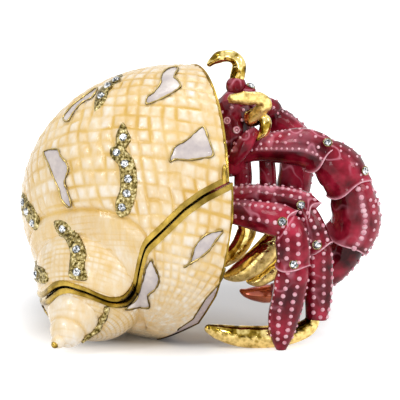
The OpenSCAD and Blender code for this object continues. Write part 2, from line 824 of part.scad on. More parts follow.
module base_inlay_wires() color(gold) seated() meshed() {
    on_base() difference() {
        intersection() {
            skin(inlay_t);
            for (s = base_inlay_shares) outline_prism(s, wire_w);
        }
        for (s = base_inlay_shares) outline_prism(s, 0);
    }
}

module lid_crystal_frames() {
    for (s = lid_crystal_shares) {
        seat = crystal_seat(s);
        facing(seat[0] + seat[1] * seat_floor, seat[1]) children();
    }
}

module lid_patches() color(gold) seated() meshed() {
    difference() {
        on_lid() intersection() {
            skin(patch_t);
            for (s = lid_patch_shares) outline_prism(s, 0);
        }
        lid_crystal_frames() crystal_seat_cut();
    }
}

module lid_crystals() color(glass) seated() meshed() {
    lid_crystal_frames() crystal();
}

// Crab pieces

module thorax() color(maroon) seated() meshed() thorax_form();

module carapace() color(maroon) seated() meshed() {
    difference() {
        carapace_form();
        thorax_form();
    }
}

module cheek() color(maroon) seated() meshed() {
    difference() {
        limb(cheek_shares);
        carapace_form();
        thorax_form();
        limb(claw_upper_shares);
    }
}

// the second eye joint stays beside the first, whatever the crab's reach
function second_eye() = [
    eye_share[0] + eye_step_share[0] * limb_w / crab_l, eye_share[1] + eye_step_share[1] * limb_w / crab_d,
    eye_share[2] + eye_step_share[2] * limb_w / crab_h, eye_step_share[3]
];

module eye_joints_form() {
    knob(eye_share);
    knob(second_eye());
}

module eye_joints() color(maroon) seated() meshed() {
    difference() {
        eye_joints_form();
        carapace_form();
        crab_stone_seats();
    }
}

module high_feeler() color(gold) seated() meshed() {
    difference() {
        limb(high_feeler_shares);
        eye_joints_form();
        carapace_form();
    }
}

module low_feeler() color(gold) seated() meshed() {
    difference() {
        union() {
            limb(low_feeler_shares);
            knob(cup_shares);
        }
        carapace_form();
        limb(cheek_shares);
    }
}

module jaw() color(gold) seated() meshed() {
    difference() {
        limb(jaw_shares);
        limb(low_feeler_shares);
        knob(cup_shares);
        carapace_form();
        limb(cheek_shares);
    }
}

module claw_upper() color(maroon) seated() meshed() {
    difference() {
        limb(claw_upper_shares);
        thorax_form();
        carapace_form();
        limb(claw_elbow_shares);
        crab_stone_seats();
    }
}

module claw_elbow() color(maroon) seated() meshed() {
    difference() {
        limb(claw_elbow_shares);
        limb(claw_hand_shares);
        crab_stone_seats();
    }
}

module claw_hand() color(maroon) seated() meshed() {
    difference() {
        limb(claw_hand_shares);
        limb(claw_finger_shares);
    }
}

module claw_finger() color(maroon) seated() meshed() {
    difference() {
        limb(claw_finger_shares);
        limb(claw_tip_shares);
    }
}

module claw_tip() color(copper) seated() meshed() limb(claw_tip_shares);

module far_upper() color(maroon) seated() meshed() {
    difference() {
        limb(far_upper_shares);
        carapace_form();
        limb(far_hand_shares);
    }
}

module far_hand() color(maroon) seated() meshed() {
    difference() {
        limb(far_hand_shares);
        limb(pincer_front_shares);
        limb(pincer_low_shares);
    }
}

module inner_arm() color(maroon) seated() meshed() {
    difference() {
        limb(inner_arm_shares);
        carapace_form();
        thorax_form();
        limb(claw_upper_shares);
        limb(back_leg_upper_shares);
        limb(front_leg_upper_shares);
        limb(pincer_top_shares);
    }
}

module mid_arm() color(maroon) seated() meshed() {
    difference() {
        limb(mid_arm_shares);
        thorax_form();
        limb(claw_upper_shares);
        limb(back_leg_upper_shares);
        limb(far_hand_shares);
        limb(pincer_front_shares);
    }
}

module pincer_front() color(gold) seated() meshed() limb(pincer_front_shares);

module pincer_low() color(gold) seated() meshed() {
    difference() {
        limb(pincer_low_shares);
        limb(pincer_front_shares);
    }
}

module pincer_top() color(gold) seated() meshed() {
    difference() {
        limb(pincer_top_shares);
        thorax_form();
    }
}

module back_leg_upper() color(maroon) seated() meshed() {
    difference() {
        limb(back_leg_upper_shares);
        thorax_form();
        limb(back_leg_knee_shares);
        crab_stone_seats();
    }
}

module back_leg_knee() color(maroon) seated() meshed() {
    difference() {
        limb(back_leg_knee_shares);
        limb(back_leg_shin_shares);
        crab_stone_seats();
    }
}

module back_leg_shin() color(maroon) seated() meshed() {
    difference() {
        limb(back_leg_shin_shares);
        limb(toe_shares);
    }
}

module toe() color(gold) seated() meshed() {
    difference() {
        limb(toe_shares);
        limb(front_leg_shin_shares);
    }
}

module front_leg_upper() color(maroon) seated() meshed() {
    difference() {
        limb(front_leg_upper_shares);
        thorax_form();
        limb(back_leg_upper_shares);
        limb(front_leg_knee_shares);
        crab_stone_seats();
    }
}

module front_leg_knee() color(maroon) seated() meshed() {
    difference() {
        limb(front_leg_knee_shares);
        limb(front_leg_shin_shares);
        crab_stone_seats();
    }
}

module front_leg_shin() color(maroon) seated() meshed() limb(front_leg_shin_shares);

module crab_crystals() color(glass) seated() meshed() {
    crab_stone_frames() crystal();
}

base_shell();
base_rim();
base_lip();
spire();
spire_tip();
base_inlays();
base_inlay_wires();
base_hinge();
hinge_pin();
base_magnet();
lid_shell();
lid_rim();
lid_lip();
lid_inlays();
lid_inlay_wires();
lid_patches();
lid_crystals();
lid_hinge();
lid_magnet();
thorax();
carapace();
cheek();
eye_joints();
high_feeler();
low_feeler();
jaw();
claw_upper();
claw_elbow();
claw_hand();
claw_finger();
claw_tip();
far_upper();
far_hand();
inner_arm();
mid_arm();
pincer_front();
pincer_low();
pincer_top();
back_leg_upper();
back_leg_knee();
back_leg_shin();
toe();
front_leg_upper();
front_leg_knee();
front_leg_shin();
crab_crystals();
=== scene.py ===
"""Looks of the hermit crab trinket box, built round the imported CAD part.

Shapes are worked out in millimetres in the CAD source's own place and moved to the
frame's place by SEAT when a mesh is finished.
"""

import json
import math

import bpy
import numpy as np
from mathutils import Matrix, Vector
from mathutils.geometry import delaunay_2d_cdt

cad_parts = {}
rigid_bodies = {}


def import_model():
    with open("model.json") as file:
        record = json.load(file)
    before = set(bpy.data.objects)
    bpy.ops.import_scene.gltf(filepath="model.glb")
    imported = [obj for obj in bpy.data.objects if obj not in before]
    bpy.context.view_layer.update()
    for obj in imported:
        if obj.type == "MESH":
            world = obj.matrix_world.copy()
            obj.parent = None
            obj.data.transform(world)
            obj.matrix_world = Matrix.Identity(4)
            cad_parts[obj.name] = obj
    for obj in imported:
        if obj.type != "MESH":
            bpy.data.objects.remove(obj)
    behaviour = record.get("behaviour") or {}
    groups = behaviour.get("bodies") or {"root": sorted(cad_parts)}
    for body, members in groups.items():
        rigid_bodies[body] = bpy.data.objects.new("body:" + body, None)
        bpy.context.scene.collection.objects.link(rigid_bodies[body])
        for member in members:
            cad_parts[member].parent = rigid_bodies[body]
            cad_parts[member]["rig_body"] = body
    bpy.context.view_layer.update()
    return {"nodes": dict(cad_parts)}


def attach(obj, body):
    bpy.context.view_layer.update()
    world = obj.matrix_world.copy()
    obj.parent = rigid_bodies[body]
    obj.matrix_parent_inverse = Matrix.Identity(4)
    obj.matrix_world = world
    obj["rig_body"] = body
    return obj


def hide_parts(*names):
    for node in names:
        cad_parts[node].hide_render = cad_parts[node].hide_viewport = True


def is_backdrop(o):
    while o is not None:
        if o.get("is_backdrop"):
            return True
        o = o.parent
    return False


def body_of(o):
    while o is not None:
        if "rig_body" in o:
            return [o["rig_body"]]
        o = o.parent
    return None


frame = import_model()

MM = 0.001
SEAT = np.array([0.0, -1.33, 0.0])
RNG = np.random.default_rng(7)
ROUND = 2 * math.pi

# ---------------------------------------------------------------- sizes, as in the CAD source

BODY_AT = np.array([-4.9, 1.5, 29.4])
BODY = np.array([68.8, 50.0, 60.8])
WHORL_AT = BODY_AT + np.array([-0.259, -0.21, -0.227]) * BODY
WHORL = np.array([26.0, 28.0, 29.6])
WHORLS = ((BODY_AT, BODY), (WHORL_AT, WHORL))
WALL = 1.8
FLOOR_T = 1.6
RECESS = 3.0
BULKHEAD_T = 1.6
LID_SETBACK = 0.8
LID_BAND = 0.6
BASE_BAND = 0.4
LIP_AT = BODY_AT + np.array([0.068, 0.0, 0.01]) * BODY
CURL_AT = BODY_AT + np.array([0.066, 0.0, -0.36]) * BODY
LOW_CURL_AT = BODY_AT + np.array([0.052, 0.0, -0.405]) * BODY
# a point, pitch and yaw in degrees of each plane that the opening is cut along
LIP_PLANES = ((LIP_AT, 2.0, 17.0), (LIP_AT, 7.5, 17.0), (CURL_AT, 26.0, 4.0), (LOW_CURL_AT, 58.0, 0.0))
SEAM_TILT = math.radians(25)
SEAM_AT = np.array([BODY_AT[0] - 0.142 * BODY[0], 0.0, BODY_AT[2] - 0.122 * BODY[2]])
ALONG = np.array([math.cos(SEAM_TILT), 0.0, math.sin(SEAM_TILT)])
BACKWARD = np.array([0, 1.0, 0])
UPWARD = np.array([-math.sin(SEAM_TILT), 0.0, math.cos(SEAM_TILT)])
SEAM_COURSE = np.array([
    [-0.60, -0.04], [-0.32, -0.03], [-0.265, 0], [-0.23, 0], [-0.175, -0.05], [-0.12, -0.125],
    [-0.08, -0.145], [-0.035, -0.12], [-0.01, -0.075], [0.02, -0.03], [0.05, 0.01],
    [0.125, 0.04], [0.21, 0.075], [0.285, 0.09], [0.70, 0.09],
])
SEAM_LEVEL = 0.72
GAP = 0.6
RIM_W = 1.5
RIM_SHOWN = 1.2
HINGE_Z = float((BODY_AT - SEAM_AT) @ UPWARD)
FAR = 80.0
CRAB = np.array([78.0, 52.0, 65.0])
LIMB_W = 10.0

# body, side of the seam, how the form above the seam cuts it, and where its lip's band begins and ends
HALVES = (
    ("lid", 1, "INTERSECT", LID_SETBACK, LID_SETBACK + LID_BAND),
    ("base", -1, "DIFFERENCE", 0.0, BASE_BAND),
)

# the coil's axis, towards the spire, in the shell's own round form
COIL = np.array([-0.2, -0.53, -0.82])
COIL = COIL / np.linalg.norm(COIL)
COIL_U = np.cross(COIL, [0.0, 1.0, 0.0])
COIL_U = COIL_U / np.linalg.norm(COIL_U)
COIL_V = np.cross(COIL, COIL_U)

# ---------------------------------------------------------------- small helpers


def unit(v):
    v = np.asarray(v, float)
    return v / np.linalg.norm(v, axis=-1, keepdims=True)


def smooth(t):
    t = np.clip(t, 0, 1)
    return t * t * (3 - 2 * t)


def bell(x, width):
    return np.exp(-((x / width) ** 2))


def off_line(x):
    """Distance to the nearest line, for lines at the whole numbers and a half."""
    return 0.5 - np.abs(x % 1 - 0.5)


def angle_from(angle, middle):
    """The angle in degrees from the middle one, from -180 to 180."""
    return (angle - middle + 180) % 360 - 180


def noise(p, scale, seed=0):
    """Smooth value noise from 0 to 1 at points p, with cells of that size."""
    q = np.asarray(p, float) / scale
    i = np.floor(q).astype(np.int64)
    f = smooth(q - i)
    total = np.zeros(len(q))
    for corner in range(8):
        o = np.array([corner & 1, corner >> 1 & 1, corner >> 2 & 1])
        c = (i + o).astype(np.uint64)
        h = c[:, 0] * np.uint64(73856093) ^ c[:, 1] * np.uint64(19349663) ^ c[:, 2] * np.uint64(83492791)
        h = (h + np.uint64(seed * 2654435761)) * np.uint64(6364136223846793005)
        value = (h >> np.uint64(33)).astype(float) / 2.0**31
        total += np.prod(np.where(o == 1, f, 1 - f), axis=1) * value
    return total


def spline(a, b, c, d, t):
    """A point between b and c on the smooth line through four."""
    return 0.5 * (2 * b + (c - a) * t + (2 * a - 5 * b + 4 * c - d) * t * t + (3 * b - a - 3 * c + d) * t**3)


def across(direction, hint=(0.3, 0.2, 0.93)):
    """A unit direction and two axes across it."""
    d = unit(direction)
    side = unit(np.cross(d, hint))
    return d, side, np.cross(d, side)


def circle(steps):
    return np.linspace(0, ROUND, steps, endpoint=False)


def linked(obj):
    bpy.context.scene.collection.objects.link(obj)
    return obj


def mesh_object(name, verts, faces):
    mesh = bpy.data.meshes.new(name)
    mesh.from_pydata(np.asarray(verts, float).tolist(), [], [list(map(int, f)) for f in faces])
    mesh.update()
    return linked(bpy.data.objects.new(name, mesh))


def ring_faces(rings, sides, closed=False):
    """Quads between rings of corners that follow each other; the last ring meets the first if closed."""
    return [
        [i * sides + k, i * sides + (k + 1) % sides, j * sides + (k + 1) % sides, j * sides + k]
        for i, j in ((i, (i + 1) % rings) for i in range(rings if closed else rings - 1))
        for k in range(sides)
    ]


def fan(tip, start, sides):
    return [[tip, start + (k + 1) % sides, start + k] for k in range(sides)]


def combine(obj, tool, how):
    """Cuts or joins two closed meshes; the tool is thrown away."""
    mod = obj.modifiers.new("cut", "BOOLEAN")
    mod.solver = "MANIFOLD"
    mod.operation = how
    mod.object = tool
    made = bpy.data.meshes.new_from_object(obj.evaluated_get(bpy.context.evaluated_depsgraph_get()))
    obj.modifiers.clear()
    obj.data = made
    bpy.data.objects.remove(tool)
    return obj


def copy_of(obj):
    c = obj.copy()
    c.data = obj.data.copy()
    return linked(c)


def read(items, what):
    co = np.zeros(len(items) * 3)
    items.foreach_get(what, co)
    return co.reshape(-1, 3)


def points(obj):
    return read(obj.data.vertices, "co")


def face_centres(obj):
    return read(obj.data.polygons, "center")


def paint(obj, name, values):
    """Gives every corner its value, or one value to all."""
    layer = obj.data.attributes.new(name, "FLOAT", "POINT")
    layer.data.foreach_set("value", np.broadcast_to(values, len(obj.data.vertices)).astype(np.float32))


def dress(obj, *mats):
    obj.data.materials.clear()
    for m in mats:
        obj.data.materials.append(m)


def finish_piece(obj, name, body, mats, stands_for=(), sharp=38, second=None):
    """Moves a piece from millimetres to the frame, shades it and hands it to its body.

    sharp: the angle in degrees past which an edge stays sharp, or 0 for none.
    second: marks the faces that take the second material."""
    obj.name = name
    co = (points(obj) + SEAT) * MM
    obj.data.vertices.foreach_set("co", co.astype(np.float32).ravel())
    obj.data.update()
    dress(obj, *mats)
    if second is not None:
        obj.data.polygons.foreach_set("material_index", second.astype(np.int32))
    obj.data.shade_smooth()
    if sharp:
        obj.data.set_sharp_from_angle(angle=math.radians(sharp))
    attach(obj, body)
    if stands_for:
        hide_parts(*stands_for)
    return obj


# ---------------------------------------------------------------- materials


class Nodes:
    """A short way to wire the nodes of a material or a world."""

    def __init__(self, tree):
        self.tree = tree
        self.coord = None

    def add(self, kind, **values):
        n = self.tree.nodes.new(kind)
        for key, value in values.items():
            setattr(n, key, value)
        return n

    def link(self, a, b):
        self.tree.links.new(a, b)

    def place(self):
        if self.coord is None:
            self.coord = self.add("ShaderNodeTexCoord").outputs["Object"]
        return self.coord

    def texture(self, at, scale, detail):
        n = self.add("ShaderNodeTexNoise")
        n.inputs["Scale"].default_value = scale
        n.inputs["Detail"].default_value = detail
        self.link(at, n.inputs["Vector"])
        return n

    def noise(self, scale, detail=3.0):
        n = self.texture(self.place(), scale, detail)
        n.inputs["Roughness"].default_value = 0.55
        return n.outputs["Fac"]

    def streaks(self, scale, stretch):
        """Noise drawn out along the upright direction."""
        m = self.add("ShaderNodeMapping")
        m.inputs["Scale"].default_value = (1.0, 1.0, stretch)
        self.link(self.place(), m.inputs["Vector"])
        return self.texture(m.outputs["Vector"], scale, 2.0).outputs["Fac"]

    def attribute(self, name):
        return self.add("ShaderNodeAttribute", attribute_name=name).outputs["Fac"]

    def tone(self, low=-0.8, high=0.9):
        """Painted light and shade, from 0 to 1: surfaces of the piece that face up and forward are painted bright,
        the others deeper.
        """
        n = self.add("ShaderNodeVectorMath", operation="DOT_PRODUCT")
        self.link(self.add("ShaderNodeTexCoord").outputs["Normal"], n.inputs[0])
        n.inputs[1].default_value = (-0.3, -0.5, 0.81)
        return self.span(n.outputs["Value"], low, high)

    def ramp(self, value, stops):
        n = self.add("ShaderNodeValToRGB")
        while len(n.color_ramp.elements) < len(stops):
            n.color_ramp.elements.new(0.5)
        for e, (at, colour) in zip(n.color_ramp.elements, stops):
            e.position = at
            e.color = (*colour, 1.0)
        self.link(value, n.inputs["Fac"])
        return n.outputs["Color"]

    def fill(self, socket, x):
        """Sets a socket to a number or colour, or links it."""
        if isinstance(x, (int, float)):
            socket.default_value = x
        elif isinstance(x, tuple):
            socket.default_value = (*x, 1.0)
        else:
            self.link(x, socket)

    def math(self, how, a, b):
        n = self.add("ShaderNodeMath", operation=how)
        self.fill(n.inputs[0], a)
        self.fill(n.inputs[1], b)
        return n.outputs[0]

    def span(self, value, low, high, to_low=0.0, to_high=1.0):
        n = self.add("ShaderNodeMapRange")
        for i, x in enumerate((value, low, high, to_low, to_high)):
            self.fill(n.inputs[i], x)
        return n.outputs[0]

    def mix(self, share, a, b):
        n = self.add("ShaderNodeMix", data_type="RGBA")
        colours = [s for s in n.inputs if s.type == "RGBA"]
        for socket, x in zip((n.inputs["Factor"], *colours), (share, a, b)):
            self.fill(socket, x)
        return next(s for s in n.outputs if s.type == "RGBA")

    def seen(self):
        """1 for the rays that show the background itself: the camera's, mirrored and through glass."""
        path = self.add("ShaderNodeLightPath").outputs
        direct = self.math("MAXIMUM", path["Is Camera Ray"], path["Is Glossy Ray"])
        return self.math("MAXIMUM", direct, path["Is Transmission Ray"])


class Surface(Nodes):
    """A new material; values are its shader's inputs, with _ for a space."""

    def __init__(self, name, **values):
        self.mat = bpy.data.materials.new(name)
        self.mat.use_nodes = True
        super().__init__(self.mat.node_tree)
        self.inputs = self.tree.nodes["Principled BSDF"].inputs
        for key, value in values.items():
            self.inputs[key.replace("_", " ")].default_value = value

    def bump(self, height, depth, strength=0.6):
        n = self.add("ShaderNodeBump")
        n.inputs["Strength"].default_value = strength
        n.inputs["Distance"].default_value = depth
        self.link(height, n.inputs["Height"])
        self.link(n.outputs["Normal"], self.inputs["Normal"])

    def colour(self, out):
        self.link(out, self.inputs["Base Color"])

    def roughness(self, out):
        self.link(out, self.inputs["Roughness"])


def shell_enamel():
    n = Surface("shell_enamel", Roughness=0.24, Specular_IOR_Level=0.4, Coat_Weight=0.2, Coat_Roughness=0.06)
    patchy = n.noise(110.0)
    streak = n.streaks(900.0, 0.3)
    mottle = n.math("ADD", n.span(n.noise(230.0, 4.0), 0.3, 0.7, 0.0, 0.3), n.span(streak, 0.35, 0.65, 0.0, 0.3))
    tint = n.math("ADD", n.math("MULTIPLY", n.attribute("cell"), 0.6), mottle)
    top = n.ramp(tint, ((0.15, (1.0, 0.93, 0.83)), (0.45, (0.95, 0.81, 0.60)), (0.95, (0.86, 0.61, 0.28))))
    low = n.mix(n.span(patchy, 0.35, 0.65), (0.85, 0.58, 0.18), (0.70, 0.42, 0.08))
    wash = n.span(n.noise(150.0, 4.0), 0.5, 0.72, 0.0, 0.55)
    ochre = n.math("MULTIPLY", n.attribute("groove"), n.span(patchy, 0.25, 0.6, 0.6, 1.25))
    deep = n.math("MAXIMUM", n.math("MAXIMUM", ochre, wash), n.attribute("stain"))
    flange = (0.52, 0.42, 0.41)
    n.colour(n.mix(n.attribute("lip_band"), n.mix(n.math("MINIMUM", deep, 1.0), top, low), flange))
    n.bump(n.math("ADD", n.noise(900.0, 2.0), n.math("MULTIPLY", streak, 2.0)), 0.00006, 0.5)
    n.roughness(n.span(tint, 0.3, 0.7, 0.14, 0.3))
    return n.mat


def crab_enamel():
    """Clear raspberry enamel, darker where it pools, with painted light and shade: lighter on faces turned up and
    forward, painted highlights and reflection lines on top, and painted shade along the outline.
    """
    n = Surface("crab_enamel", Roughness=0.1, Specular_IOR_Level=0.16)
    depth = n.noise(150.0)
    pool = n.ramp(depth, ((0.36, (0.045, 0.001, 0.003)), (0.5, (0.19, 0.004, 0.014)), (0.66, (0.48, 0.024, 0.058))))
    # painted light: the pool colour is mixed lighter on faces turned up and forward
    pool_with_painted_light = n.mix(n.math("MULTIPLY", n.tone(0.2, 1.0), 0.14), pool, (0.50, 0.03, 0.065))
    # painted highlight: wide pale patches on the faces turned most up and forward
    painted_broad_highlight = n.math("MULTIPLY", n.tone(0.75, 0.98), n.span(n.noise(190.0, 1.0), 0.46, 0.56, 0.0, 0.3))
    # painted reflection: thin pale lines where the noise crosses its middle, on faces turned up and forward
    painted_reflection_line = n.math("ABSOLUTE", n.math("SUBTRACT", n.noise(140.0, 1.0), 0.5), 0.0)
    streak = n.math("MULTIPLY", n.tone(0.35, 0.8), n.span(painted_reflection_line, 0.0, 0.03, 0.65, 0.0))
    # the painted highlights and reflection lines are mixed in as pale pink
    with_painted_highlights = n.mix(n.math("MAXIMUM", painted_broad_highlight, streak), pool_with_painted_light, (0.84, 0.30, 0.40))
    facing = n.add("ShaderNodeLayerWeight").outputs["Facing"]
    # painted shade: darker towards the outline, where the surface turns away from the view
    with_painted_outline_shade = n.mix(n.span(facing, 0.5, 0.95, 0.0, 0.8), with_painted_highlights, (0.07, 0.002, 0.006))
    # pink where the limbs are marked: paler enamel on raised edges, partly a painted highlight
    n.colour(n.mix(n.attribute("pink"), with_painted_outline_shade, (0.80, 0.30, 0.38)))
    n.bump(n.noise(210.0, 2.0), 0.0003, 0.7)
    n.roughness(n.span(depth, 0.3, 0.7, 0.06, 0.14))
    return n.mat


def grained(name, grain, stops, bump, **values):
    """A material coloured by one noise, grain: (scale, detail).

    bump: (scale, detail) of its noise, its depth in metres and its strength."""
    n = Surface(name, **values)
    n.colour(n.ramp(n.noise(*grain), stops))
    n.bump(n.noise(*bump[:2]), *bump[2:])
    return n.mat


def rim_gold():
    n = Surface("rim_gold", Metallic=1.0, Roughness=0.2)
    random_patches = n.noise(260.0, 5.0)
    # painted light and shade: faces turned up and forward are painted brighter and the others darker, down to near
    # black, with random patches on top
    tone = n.math("ADD", n.math("MULTIPLY", n.tone(), 0.8), n.span(random_patches, 0.3, 0.7, -0.2, 0.4))
    n.colour(n.ramp(tone, ((0.1, (0.04, 0.022, 0.002)), (0.5, (0.18, 0.11, 0.012)), (0.95, (0.54, 0.37, 0.08)))))
    n.bump(n.noise(420.0, 4.0), 0.00008, 0.4)
    n.roughness(n.span(random_patches, 0.3, 0.7, 0.14, 0.3))
    return n.mat


def wire_gold():
    """The flat olive gold of the thin lines round the inlays."""
    n = Surface("wire_gold", Metallic=0.8, Roughness=0.34)
    # painted light and shade: faces turned up and forward are painted brighter, the others darker, with a little
    # random variation
    tone = n.math("ADD", n.tone(-0.5, 1.0), n.span(n.noise(400.0), 0.3, 0.7, -0.15, 0.15))
    n.colour(n.ramp(tone, ((0.1, (0.035, 0.02, 0.004)), (0.55, (0.15, 0.095, 0.02)), (0.98, (0.56, 0.42, 0.15)))))
    n.bump(n.noise(1500.0), 0.00005, 0.4)
    return n.mat


def claw_gold(name, lift=0.0):
    """Polished above, brushed where the attribute says so. The polished colour holds painted light: a painted sheen
    on faces turned up and forward, random dark and bright patches that are partly painted reflection, and lift, which
    paints the whole copy lighter.
    """
    n = Surface(name, Metallic=1.0, Roughness=0.2)
    brushed = n.attribute("brushed")
    # painted sheen: faces turned up and forward are painted brighter
    painted_sheen = n.math("MULTIPLY", n.tone(-0.6, 1.0), 0.35)
    # random patches, partly painted reflection; lift paints the whole copy lighter, painted light for claws that sit
    # in shade
    tone = n.math("ADD", painted_sheen, n.span(n.noise(300.0, 5.0), 0.38, 0.62, lift - 0.3, lift + 0.7))
    bright = n.ramp(tone, ((0.1, (0.05, 0.025, 0.002)), (0.45, (0.30, 0.19, 0.02)), (0.9, (0.95, 0.76, 0.30))))
    dull = n.mix(n.span(n.noise(900.0, 5.0), 0.3, 0.6), (0.40, 0.26, 0.05), (0.92, 0.70, 0.27))
    n.colour(n.mix(brushed, bright, dull))
    n.bump(n.math("ADD", n.noise(300.0), n.math("MULTIPLY", brushed, n.noise(1800.0, 4.0))), 0.00012, 0.6)
    n.roughness(n.span(brushed, 0.0, 1.0, 0.1, 0.4))
    return n.mat


def crystal_glass():
    n = Surface("crystal_facets", Roughness=0.04, IOR=1.8, Metallic=0.5, Specular_IOR_Level=0.6)
    # painted reflection: each face of a stone is painted from near black to white, standing for what a cut stone
    # reflects
    tones = ((0.0, (0.02, 0.025, 0.03)), (0.35, (0.20, 0.23, 0.26)), (0.6, (0.80, 0.84, 0.88)), (0.9, (1, 1, 1)))
    n.colour(n.ramp(n.attribute("facet_painted_reflection"), tones))
    return n.mat


ENAMEL = shell_enamel()
MAROON = crab_enamel()
BEAD = grained(
    "bead_enamel", (700.0, 3.0), ((0.35, (0.92, 0.58, 0.64)), (0.65, (0.72, 0.26, 0.34))),
    (1400.0, 3.0, 0.00003, 0.4), Roughness=0.2, Specular_IOR_Level=0.3,
)
PEARL = grained(
    "pearl_enamel", (230.0, 4.0), ((0.3, (0.48, 0.42, 0.43)), (0.5, (0.66, 0.58, 0.55)), (0.7, (0.86, 0.78, 0.72))),
    (500.0, 3.0, 0.00003, 0.3), Roughness=0.26, Coat_Weight=0.4, Coat_Roughness=0.1,
)
COPPER = grained(
    "copper_enamel", (220.0, 4.0), ((0.3, (0.28, 0.02, 0.012)), (0.7, (0.60, 0.15, 0.05))),
    (500.0, 3.0, 0.00006, 0.4), Metallic=0.6, Roughness=0.2, Coat_Weight=0.7, Coat_Roughness=0.08,
)
GOLD = rim_gold()
CLAW = claw_gold("claw_gold")
# lighter copies of the claw gold, painted light for the feelers, jaw, cup and pincers, which sit in shade
SMALL_CLAW_PAINTED_LIGHTER = claw_gold("small_claw_gold_painted_lighter", 0.26)
PINCER_PAINTED_LIGHTER = claw_gold("pincer_gold_painted_lighter", 0.56)
# the satin lining of the two halves
INNER = grained(
    "inner_gold", (160.0, 4.0), ((0.35, (0.56, 0.38, 0.10)), (0.5, (0.78, 0.58, 0.22)), (0.68, (0.92, 0.76, 0.40))),
    (500.0, 3.0, 0.0001, 0.4), Metallic=1.0, Roughness=0.4,
)
WIRE = wire_gold()
# the rough, dark gold that the crystals sit in
GRAIN = grained(
    "grain_gold", (1500.0, 3.0),
    ((0.36, (0.05, 0.034, 0.005)), (0.5, (0.27, 0.205, 0.07)), (0.66, (0.64, 0.55, 0.29))),
    (1500.0, 3.0, 0.0003, 0.8), Metallic=1.0, Roughness=0.34,
)
GLASS = crystal_glass()
STEEL = grained(
    "steel", (400.0, 3.0), ((0.0, (0.5, 0.5, 0.52)), (1.0, (0.78, 0.78, 0.8))),
    (2000.0, 3.0, 0.00001, 0.3), Metallic=1.0, Roughness=0.22,
)

# ---------------------------------------------------------------- round forms with relief

RIBS = 72
RIB_SAMPLES = 8


def cord_table():
    """Angles from the coil's axis, and the number of cords up to each."""
    theta = np.radians(np.linspace(0, 180, 721))
    spacing = np.radians(3.1 + 3.0 * smooth((np.degrees(theta) - 26) / 45))
    count = np.concatenate([[0], np.cumsum(np.diff(theta) * 2 / (spacing[1:] + spacing[:-1]))])
    return theta, count


CORD_THETA, CORD_COUNT = cord_table()


def coil_angles(q):
    """Angle from the coil's axis and turn round it, of directions in the round form."""
    q = unit(q)
    return np.arccos(np.clip(q @ COIL, -1, 1)), np.arctan2(q @ COIL_V, q @ COIL_U)


def scatter(i, j, seed):
    """A steady random number from 0 to 1 for each cell of the relief."""
    return np.abs(np.sin(i * 12.9898 + j * 78.233 + seed * 37.719) * 43758.5453) % 1


# the line where the older whorl meets the large one: turn from its start, and angle from the axis
SUTURE_FROM = 102.0
SUTURE_TURN = [0, 5, 12, 20, 32, 58, 120, 200, 270, 320, 360]
SUTURE_ANGLE = [50, 54, 57.5, 59.5, 61, 62, 58, 48, 34, -5, -5]


def suture(theta, turn):
    """Degrees outside the older whorl's edge, and how clear the edge is: it runs out on the underside."""
    t = (np.degrees(turn) - SUTURE_FROM) % 360
    gap = np.degrees(theta) - np.interp(t, SUTURE_TURN, SUTURE_ANGLE)
    return gap, smooth((250 - t) / 45) + smooth((t - 345) / 12)


def body_relief(q):
    """Height in mm, depth of the groove, stain and cell colour, for directions on the large whorl."""
    theta, turn = coil_angles(q)
    angle = np.degrees(theta)
    wobble = noise(q, 0.12, 3) - 0.5
    cord = np.interp(theta, CORD_THETA, CORD_COUNT) + turn / ROUND + 0.3 * wobble
    rib = RIBS * turn / ROUND - 3.4 * theta + 0.5 * (noise(q, 0.15, 4) - 0.5)
    du, dw = off_line(cord), off_line(rib)
    cord_force = 0.4 + 0.75 * scatter(np.round(cord), np.floor(rib), 1)
    rib_force = 0.3 + 0.85 * scatter(np.floor(cord), np.round(rib), 2)
    cord_cut = bell(du, 0.15) * cord_force * smooth((angle - 16) / 30)
    rib_cut = bell(dw, 0.19) * rib_force * smooth((angle - 8) / 20)
    groove = np.clip(np.maximum(cord_cut, rib_cut), 0, 1)
    dome = 0.5 * (1 - np.cos(ROUND * du)) * np.sin(math.pi * np.clip(dw * 2, 0, 1) / 2)
    area = 0.5 + 0.6 * noise(q, 0.35, 5)
    fine = smooth((angle - 18) / 25)
    gap, fade = suture(theta, turn)
    older = smooth((0.8 - gap) / 1.6) * (0.15 + 0.85 * fade)
    thread = angle / 2.4 + 0.3 * wobble
    growth = 170 * turn / ROUND - 5 * theta + 1.5 * wobble
    thread_cut = bell(off_line(thread), 0.2) * smooth((gap + 22) / 10)
    growth_cut = bell(off_line(growth), 0.22) * (0.3 + 0.7 * noise(q, 0.2, 8))
    lines = np.maximum(0.5 * thread_cut, 0.55 * growth_cut)
    new = (0.2 * dome - 0.24 * groove) * area * (0.35 + 0.65 * fine)
    old = -0.14 * lines + 0.45 * smooth(-gap / 5) * bell(gap + 9, 13)
    seam = fade * bell(gap, 1.4)
    height = 0.8 * new * (1 - older) + old * older - 0.5 * seam
    cut = np.clip(groove * area * (0.5 + 0.6 * fine), 0, 1) * (1 - older) + 1.15 * lines * older
    wash = 0.9 * bell(gap + 5, 4.5) * older * noise(q, 0.2, 12)
    young = 0.75 * scatter(np.floor(cord), np.floor(rib), 3) + 0.25 * (1 - dome)
    elder = 0.05 + 0.95 * noise(q, 0.09, 14)
    return height, cut, np.clip(0.95 * seam + wash, 0, 1), young * (1 - older) + elder * older


def whorl_relief(q):
    theta, turn = coil_angles(q)
    wobble = noise(q, 0.25, 9) - 0.5
    du = off_line(np.degrees(theta) / 4.6 + turn / ROUND + 0.3 * wobble)
    dw = off_line(60 * turn / ROUND + 0.3 * wobble)
    cut = np.clip(np.maximum(bell(du, 0.16), 0.5 * bell(dw, 0.2)), 0, 1)
    strength = 0.45 + 0.8 * noise(q, 0.3, 11)
    return -0.13 * cut * strength, cut * strength


